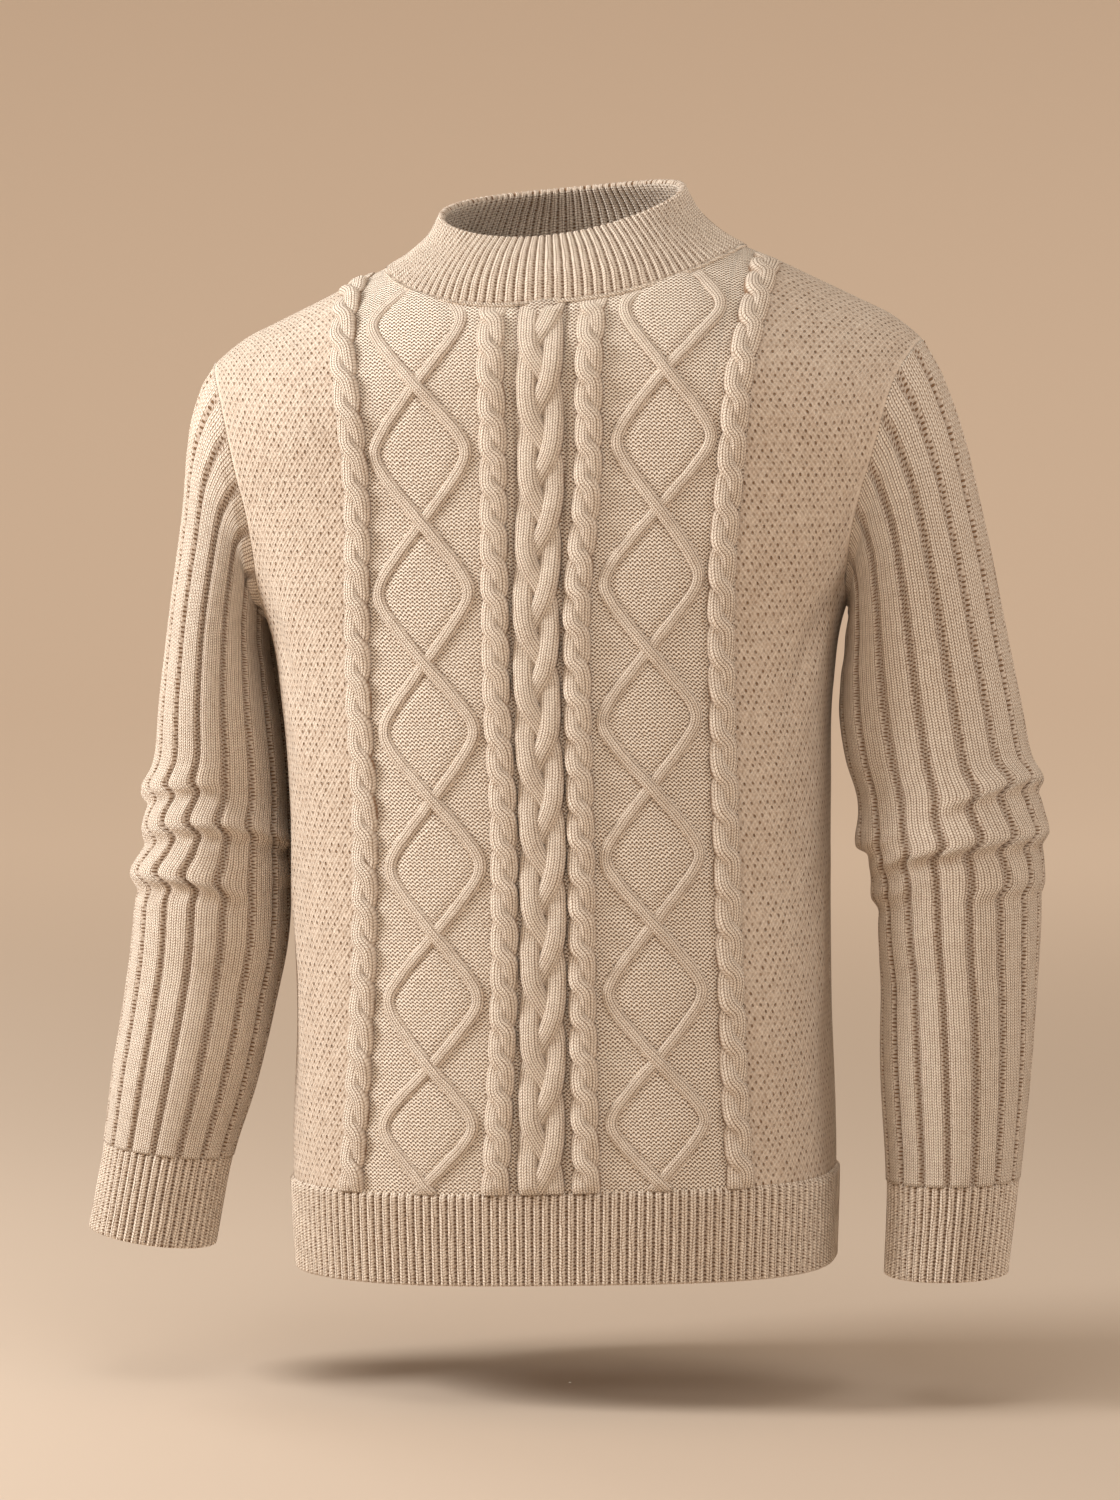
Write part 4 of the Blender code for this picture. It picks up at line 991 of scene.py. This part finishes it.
def collar_surface(angle, part):
    """Points from the seam (part 0) to the rim (part 1), and the panels' normals at the seam. Each ring lies
    between the neck opening and the oval rim. How far it has moved, in plan and in height, differs between
    the front and the sides: the collar stands up in front and flares out at the sides."""
    base, normals = on_torso(*neck_edge(angle))
    x, y = np.cos(angle) * COLLAR_RIM["half_width"], -np.sin(angle) * COLLAR_RIM["half_depth"]
    top = np.column_stack([COLLAR_RIM["x"] + x, COLLAR_RIM["y"] + y,
                           COLLAR_RIM["height"] + COLLAR_RIM["rise_back"] * y + COLLAR_RIM["rise_left"] * x
                           + COLLAR_RIM["saddle"] * np.cos(2 * angle)])
    side = np.cos(angle) ** 2

    def moved(way):
        front, beside = (smooth(part, COLLAR["part"], COLLAR[f"{way}_{place}"])[:, None]
                         for place in ("front", "side"))
        return front * (1 - side) + beside * side

    share = np.stack([moved("inward"), moved("inward"), moved("upward")], -1)
    return base * (1 - share) + top * share, normals


angle = 2 * pi * rib_places(COLLAR_RIBS, FINE_RIB)
collar_part = np.linspace(0, 1, COLLAR_ROWS)
points, seam_normals = collar_surface(angle, collar_part)
around = np.subtract(*(collar_surface(angle + step, collar_part)[0] for step in (0.03, -0.03)))
normals = unit(np.cross(around, np.gradient(points, axis=0)))
normals *= np.sign(np.sum(normals[0] * seam_normals))
share = (1 - ramp(collar_part / TURNED))[:, None, None]      # of the panels' normals in the collar's
normals = unit(normals * (1 - share) + seam_normals * share)
rim_way = unit(points[-1] - points[-3])
collar = ribbed_band("collar_rib", points, normals, rim_way, COLLAR_RIBS,
                     rise=0.0018, inner_rise=0.0014, steps=(3, 1), dark=0.7)
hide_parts("collar")

# %% [markdown]
# ## The linked row
# A machine links the collar on stitch by stitch, which leaves a small chain round the neck. Two thin yarns
# wound round each other look like that chain from a step away.
# %% Linked row at the base of the collar
LINK = dict(radius=0.0009, wind=0.0010, pitch=0.0040, out=0.0002, sides=6, rings=1200)


def linked_yarn(turned):
    """A yarn wound round the neck edge: its middle circles the seam once every pitch."""
    ring = np.linspace(0, 2 * pi, LINK["rings"] + 1)[:-1]
    base, normal = on_torso(*neck_edge(ring))
    tangent = unit(np.roll(base, -1, 0) - np.roll(base, 1, 0))
    side = np.cross(tangent, normal)
    length = np.linalg.norm(np.roll(base, -1, 0) - base, axis=1)
    turns = round(length.sum() / LINK["pitch"])
    phase = (2 * pi * turns * np.cumsum(length) / length.sum() + turned)[:, None]
    out = LINK["out"] + LINK["wind"] * 0.5 * np.cos(phase)
    middle = base + normal * out + side * LINK["wind"] * np.sin(phase)
    turn = np.linspace(0, 2 * pi, LINK["sides"] + 1)[:-1, None]
    rings = middle[:, None] + LINK["radius"] * (normal[:, None] * np.cos(turn) + side[:, None] * np.sin(turn))
    rings = np.concatenate([rings, rings[:1]])
    uv = pairs(np.arange(LINK["sides"] + 1) / LINK["sides"] + 0.5, np.arange(len(rings))[:, None] * 0.2)
    return rope_body(rings, uv, dict(hollow=np.zeros(rings.shape[:2])))


linked_row = make_piece("linked_row", [linked_yarn(0), linked_yarn(pi)], knit_wool)
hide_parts("collar")

# %% [markdown]
# ## Sleeves
# Each sleeve is a tube of sections, from the armhole to the cuff, with sixteen wide ribs and narrow purl
# grooves. An arm that has just bent leaves creases at the elbow: short, slanting, deepest on the inner side.
# They are listed one by one, because a simulation would iron out the ribs or give folds that don't belong to
# this arm.
# %% Sleeve surface
SLEEVE_RIBS = 16
SLEEVE_RIB_RISE = 0.0032
RIBS_FULL = 2.0              # from this section on, the oval is smaller by the whole height of the ribs
# the hollow column is painted shade round a wide rib, darkest at its groove's edges, and also places purl
# there
WIDE_RIB = table("""
    place height hollow
    0.000 0.00 0.50
    0.080 0.05 1.00
    0.115 0.75 0.50
    0.160 0.97 0.05
    0.250 1.00 0.00
    0.380 1.00 0.00
    0.500 1.00 0.00
    0.620 1.00 0.00
    0.750 1.00 0.00
    0.840 0.97 0.05
    0.885 0.75 0.45
    0.920 0.05 0.90""")
ABOVE, BELOW = 0.42, 0.18    # how far, in sections, a crest's soft upper and steep lower slopes reach
TROUGH = dict(place=0.30, half_width=0.17, depth=0.35)     # below a crest; its depth as a share of the crest
SAG = 0.10                   # sections by which a crest sags on each rib
SWAY = 26.0                  # how far ribs sway round the arm, in radians for each metre of a crest's height
IN_GROOVE, PUFF = 0.70, 0.45     # share of a crest's height in a groove, and how much more the rib has
FOLDS = table("""
    section angle spread slant depth half_width
    2.60 175 50 0.25 0.0014 0.45
    3.60 200 45 0.20 0.0010 0.40
    9.60 120 60 0.20 0.0018 0.45""")


def crest(*rows):
    """The line of a fold's crest round an arm: its section, and its height in millimetres, at some angles."""
    return dict(zip(("angle", "section", "height"), np.array(rows, float).T))


CRESTS_LEFT = (
    crest((-60, 5.90, 0), (-25, 5.70, 3.0), (0, 5.60, 4.2), (45, 5.65, 4.0), (70, 5.90, 2.5), (95, 6.10, 0)),
    crest((-70, 6.72, 0), (-30, 6.76, 2.4), (0, 6.82, 3.6), (45, 6.86, 4.2), (90, 7.05, 4.0),
          (135, 7.35, 3.5), (165, 7.55, 0)),
    crest((-60, 7.90, 0), (0, 7.82, 1.8), (45, 7.84, 2.6), (80, 7.95, 0)),
    crest((105, 6.60, 0), (140, 6.90, 3.8), (180, 7.05, 4.6), (215, 7.05, 3.4), (260, 7.00, 0)),
    crest((95, 7.85, 0), (135, 7.98, 3.2), (180, 8.15, 3.0), (220, 8.10, 2.2), (260, 8.00, 0)))
CRESTS_RIGHT = (
    crest((-60, 6.20, 0), (-25, 6.10, 2.8), (0, 6.02, 4.4), (45, 5.75, 3.8), (90, 5.50, 2.5), (120, 5.40, 0)),
    crest((-60, 7.10, 0), (0, 6.92, 2.0), (45, 6.68, 3.8), (90, 6.50, 4.2), (135, 6.62, 4.5),
          (180, 7.00, 5.0), (230, 7.20, 0)),
    crest((-80, 7.70, 0), (-30, 7.75, 3.5), (0, 7.78, 5.0), (45, 7.70, 5.5), (90, 7.68, 5.0),
          (115, 7.85, 3.5), (145, 8.00, 0)),
    crest((140, 7.70, 0), (180, 7.75, 3.0), (220, 7.70, 0)))


def crest_height(angle, section, crests):
    """How far the crests stand out: each is a bell along the arm, wide above and narrow below, less a second,
    lower bell that leaves a slight trough."""
    height = np.zeros(angle.shape)
    for line in crests:
        middle = (line["angle"][0] + line["angle"][-1]) / 2
        turn = np.mod(np.degrees(angle) - middle + 180, 360) - 180 + middle
        off = section - smooth(turn, line["angle"], line["section"])
        tall = np.interp(turn, line["angle"], line["height"]) / 1000
        trough = TROUGH["depth"] * bell((off - TROUGH["place"]) / TROUGH["half_width"])
        height += tall * (bell(off / np.where(off < 0, ABOVE, BELOW)) - trough)
    return height


def elbow(angle, section, crests):
    """Relief of the crests on ribbed cloth: between its grooves each rib puffs up with a sine, and its crest
    hangs lower."""
    puff = np.abs(np.sin(angle * SLEEVE_RIBS / 2))
    return crest_height(angle, section - SAG * puff, crests) * (IN_GROOVE + PUFF * puff)


def sleeve_surface(angle, section, rows, hand):
    """Outside of a sleeve and cuff before ribs and folds, and the body's normals at the armhole. Each section
    is an oval through its outer and inner points, less the height of the ribs. The first follows the armhole,
    and by how much the armhole differs from its oval fades out by ARMHOLE_FADE."""
    shape = angle.shape
    ring = np.mod(angle.ravel(), 2 * pi)
    part, side = np.where(ring <= pi, ring / pi, 2 - ring / pi), np.where(ring <= pi, -1, 1)
    across, up = np.empty_like(ring), np.empty_like(ring)
    for way in (-1, 1):
        mine = side == way
        across[mine], up[mine] = armhole_edge(part[mine], way)
    arm, normals = on_torso(hand * across, up, side)
    tip = torso(hand * ARMHOLE["across"][0], shoulder_edge(ARMHOLE["across"][0], -1), -1)
    under = torso(hand * side_seam(UNDERARM), UNDERARM, -1)
    count = np.arange(len(rows["turn"]) + 1)

    def row(name, first):
        return smooth(section.ravel(), count, np.append(first, rows[name]))

    def oval(middle, half, middle_y, half_depth, turned):
        x, z = (middle[:, i] + half[:, i] * np.cos(turned) for i in (0, 1))
        return np.column_stack([x, middle_y - half_depth * np.sin(turned), z])

    outer = np.column_stack([row("outer_x", tip[0]), row("outer_z", tip[2])])
    inner = np.column_stack([row("inner_x", under[0]), row("inner_z", under[2])])
    middle, half = (outer + inner) / 2, (outer - inner) / 2
    rise = np.linalg.norm(half, axis=1, keepdims=True)
    half *= 1 - SLEEVE_RIB_RISE * ramp(section.ravel()[:, None] / RIBS_FULL) / rise
    turned = ring + hand * np.radians(row("turn", 0.0))
    points = oval(middle, half, row("middle_y", 0.0), row("half_depth", ARMHOLE_DEPTH), turned)
    ones = np.ones((len(ring), 1))
    start = oval(ones * (tip + under)[[0, 2]] / 2, ones * (tip - under)[[0, 2]] / 2, 0.0, ARMHOLE_DEPTH, ring)
    fade = 1 - ramp(section.ravel()[:, None] / ARMHOLE_FADE)
    return (points + (arm - start) * fade).reshape(shape + (3,)), normals.reshape(shape + (3,))


def fold_depth(angle, section):
    """How far the folds pull the cloth in at each place: bells round the arm and along it, each slanting."""
    depth = np.zeros(angle.shape)
    for at, middle, spread, slant, deep, half_width in zip(*FOLDS.values()):
        away = np.mod(angle - np.radians(middle) + pi, 2 * pi) - pi
        along = (section - at - slant * away - 0.10 * np.sin(2.3 * away)) / half_width
        depth += deep * bell(away / np.radians(spread)) * bell(along)
    return depth


def tube_rings(sections, places, rows, hand, crests):
    """Points and outward normals of sleeve rings, with crests and folds in place. Two short differences give
    the normals."""
    angle, section = np.meshgrid(2 * pi * places, sections)
    swayed = angle - SWAY * crest_height(angle, section, crests)
    points, seam_normals = sleeve_surface(swayed, section, rows, hand)
    around, along = (sleeve_surface(swayed + turn, section + step, rows, hand)[0]
                     - sleeve_surface(swayed - turn, section - step, rows, hand)[0]
                     for turn, step in ((0.01, 0), (0, 0.02)))
    share = (1 - ramp(section / SEAM_FADE))[..., None]
    normals = unit(unit(np.cross(around, along)) * hand * (1 - share) + seam_normals * share)
    relief = elbow(angle, section, crests) - fold_depth(angle, section)
    return points + normals * relief[..., None], normals


# %% Build the sleeves
SLEEVE_ROWS = 289
STITCHES_A_RIB = 6
SEAM_ROW = 0.4           # sections over which a sleeve rises from its seam
AT_ARMHOLE = 0.3         # share of the ribs' height at the seam


def sleeve(name, rows, hand, crests):
    """A sleeve down to its cuff; its ribs start low at the armhole and its seam is pulled in."""
    sections = np.linspace(0, CUFF_START, SLEEVE_ROWS)
    points, normals = tube_rings(sections, rib_places(SLEEVE_RIBS, WIDE_RIB), rows, hand, crests)
    settle = ramp(sections / SEAM_ROW)[:, None]
    rib = SLEEVE_RIB_RISE * np.tile(WIDE_RIB["height"], SLEEVE_RIBS)
    height = rib * grown(AT_ARMHOLE, settle) - SEAM_DIP * 0.8 * (1 - settle)
    return tube_wall(name, points + normals * height[..., None], points - normals * WALL, along_rings(points),
                     SLEEVE_RIBS, WIDE_RIB, STITCHES_A_RIB, (4, 4))


sleeve_left = sleeve("sleeve_left_rib", SLEEVE_LEFT, 1, CRESTS_LEFT)
sleeve_right = sleeve("sleeve_right_rib", SLEEVE_RIGHT, -1, CRESTS_RIGHT)
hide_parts("sleeve_left")
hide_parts("sleeve_right")

# %% Cuffs
CUFF_RIBS = 48
CUFF_ROWS = 26
CUFF_LAP = 0.025         # sections by which it starts inside the sleeve


def cuff(name, rows, hand, crests):
    """A cuff on the last stretch of a sleeve's surface."""
    sections = np.linspace(CUFF_START + CUFF_LAP, len(rows["turn"]), CUFF_ROWS - 1)
    sections = np.append(CUFF_START - CUFF_LAP, sections)
    points, normals = tube_rings(sections, rib_places(CUFF_RIBS, FINE_RIB), rows, hand, crests)
    down = unit((points[-1] - points[0]).mean(0))
    return ribbed_band(name, points, normals, down, CUFF_RIBS, rise=0.0024, inner_rise=0.0006, steps=(4, 3))


cuff_left = cuff("cuff_left_rib", SLEEVE_LEFT, 1, CRESTS_LEFT)
cuff_right = cuff("cuff_right_rib", SLEEVE_RIGHT, -1, CRESTS_RIGHT)
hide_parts("cuff_left")
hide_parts("cuff_right")

# %% [markdown]
# ## The cut
# Each knitted piece was a flat sheet of known size before it was sewn up.
# %% Round length of the hem
hem_round = 4 * side_seam(HEM_END)

# %% [markdown]
# ## Floor and light
# The sweater hangs in the air above a plain sweep: a floor that curves up into a wall all round, so no view
# of it has a horizon. A soft light near the sweater's left edge in the view, a little above it, rakes across
# the cables; weaker ones from the front, the right, above and behind fill in and edge the sleeve.
# %% Floor
FLOOR_HEIGHT = -0.762
FLOOR_RADIUS = 7.0
FLOOR_SIDES = 96
SWEEP_RADIUS = 2.5
WALL_HEIGHT = 6.0
PAPER = (0.57, 0.467, 0.374, 1)
GLOW = (0.42, 0.316, 0.230, 1)         # painted light: the paper glows far from the sweater, where the lamps reach less
GLOW_START, GLOW_FULL = 1.1, 4.2       # distances over which it sets in
GLOW_TOP = 3.0                         # height at which little of it is left


def sweep():
    """A round floor whose edge turns up on a quarter circle into a wall."""
    turn = np.linspace(0, pi / 2, 17)
    radius = np.concatenate([[1e-3, 1.0, 3.0, 5.0], FLOOR_RADIUS + SWEEP_RADIUS * np.sin(turn),
                             [FLOOR_RADIUS + SWEEP_RADIUS]])
    height = np.concatenate([[0, 0, 0, 0], SWEEP_RADIUS * (1 - np.cos(turn)), [WALL_HEIGHT]])
    around = np.linspace(0, 2 * pi, FLOOR_SIDES + 1)[:-1]
    points = np.stack([radius[:, None] * np.cos(around), radius[:, None] * np.sin(around),
                       np.broadcast_to(height[:, None] + FLOOR_HEIGHT, (len(radius), FLOOR_SIDES))], -1)
    mesh = bpy.data.meshes.new("studio_sweep")
    mesh.from_pydata(points.reshape(-1, 3).tolist(), [], quads(wrapped(points, FLOOR_SIDES + 1)).tolist())
    mesh.shade_smooth()
    return bpy.data.objects.new("studio_sweep", mesh)


floor = sweep()
paper = Wool("studio_paper")
place = paper.add("ShaderNodeTexCoord", {}, {}, 3)
east, north, high = (paper.add("ShaderNodeSeparateXYZ", {}, {0: place}, axis) for axis in (0, 1, 2))
# painted light: the glow sets in away from the sweater and weakens up the wall
far = paper.between((east * east + north * north) ** 0.5, GLOW_START, GLOW_FULL)
share = far * (1 - paper.between(high, FLOOR_HEIGHT, GLOW_TOP) * 0.8)
glow = paper.mixed(share, (0, 0, 0, 1), GLOW)
paper.feed(paper.shader, {"Base Color": PAPER, "Emission Color": glow, "Emission Strength": 0.69,
                          "Roughness": 0.95, "Specular IOR Level": 0.1})
floor.data.materials.append(paper.material)
bpy.context.scene.collection.objects.link(floor)


# %% Lights
CHEST = (0, 0, -0.3)
WARM = (1.0, 0.99, 0.975)
SKY = (1.0, 0.86, 0.70, 1)


def soft_light(name, place, size, power):
    """A round lamp that looks at the chest, its size in metres and its power in watts."""
    light = bpy.data.lights.new(name, "AREA")
    light.shape, light.size, light.energy, light.color = "DISK", size, power, WARM
    lamp = bpy.data.objects.new(name, light)
    x, y, z = np.array(CHEST) - np.array(place)
    lamp.location = place
    lamp.rotation_euler = (np.arctan2(np.hypot(x, y), -z), 0, np.arctan2(y, x) - pi / 2)
    bpy.context.scene.collection.objects.link(lamp)


soft_light("key", (-1.90, -0.72, 0.62), 0.8, 52)
soft_light("front", (0.9, -2.5, 0.9), 1.4, 11)
soft_light("edge_left", (-2.0, 1.6, 0.9), 1.0, 12)
soft_light("fill", (3.2, -1.5, 0.9), 1.6, 23.5)
soft_light("top", (-0.1, -1.1, 2.2), 1.2, 10.5)
world = bpy.data.worlds.new("studio")
world.use_nodes = True
background = world.node_tree.nodes["Background"].inputs
background["Color"].default_value, background["Strength"].default_value = SKY, 0.54
bpy.context.scene.world = world
bpy.context.scene.view_settings.view_transform = "Standard"
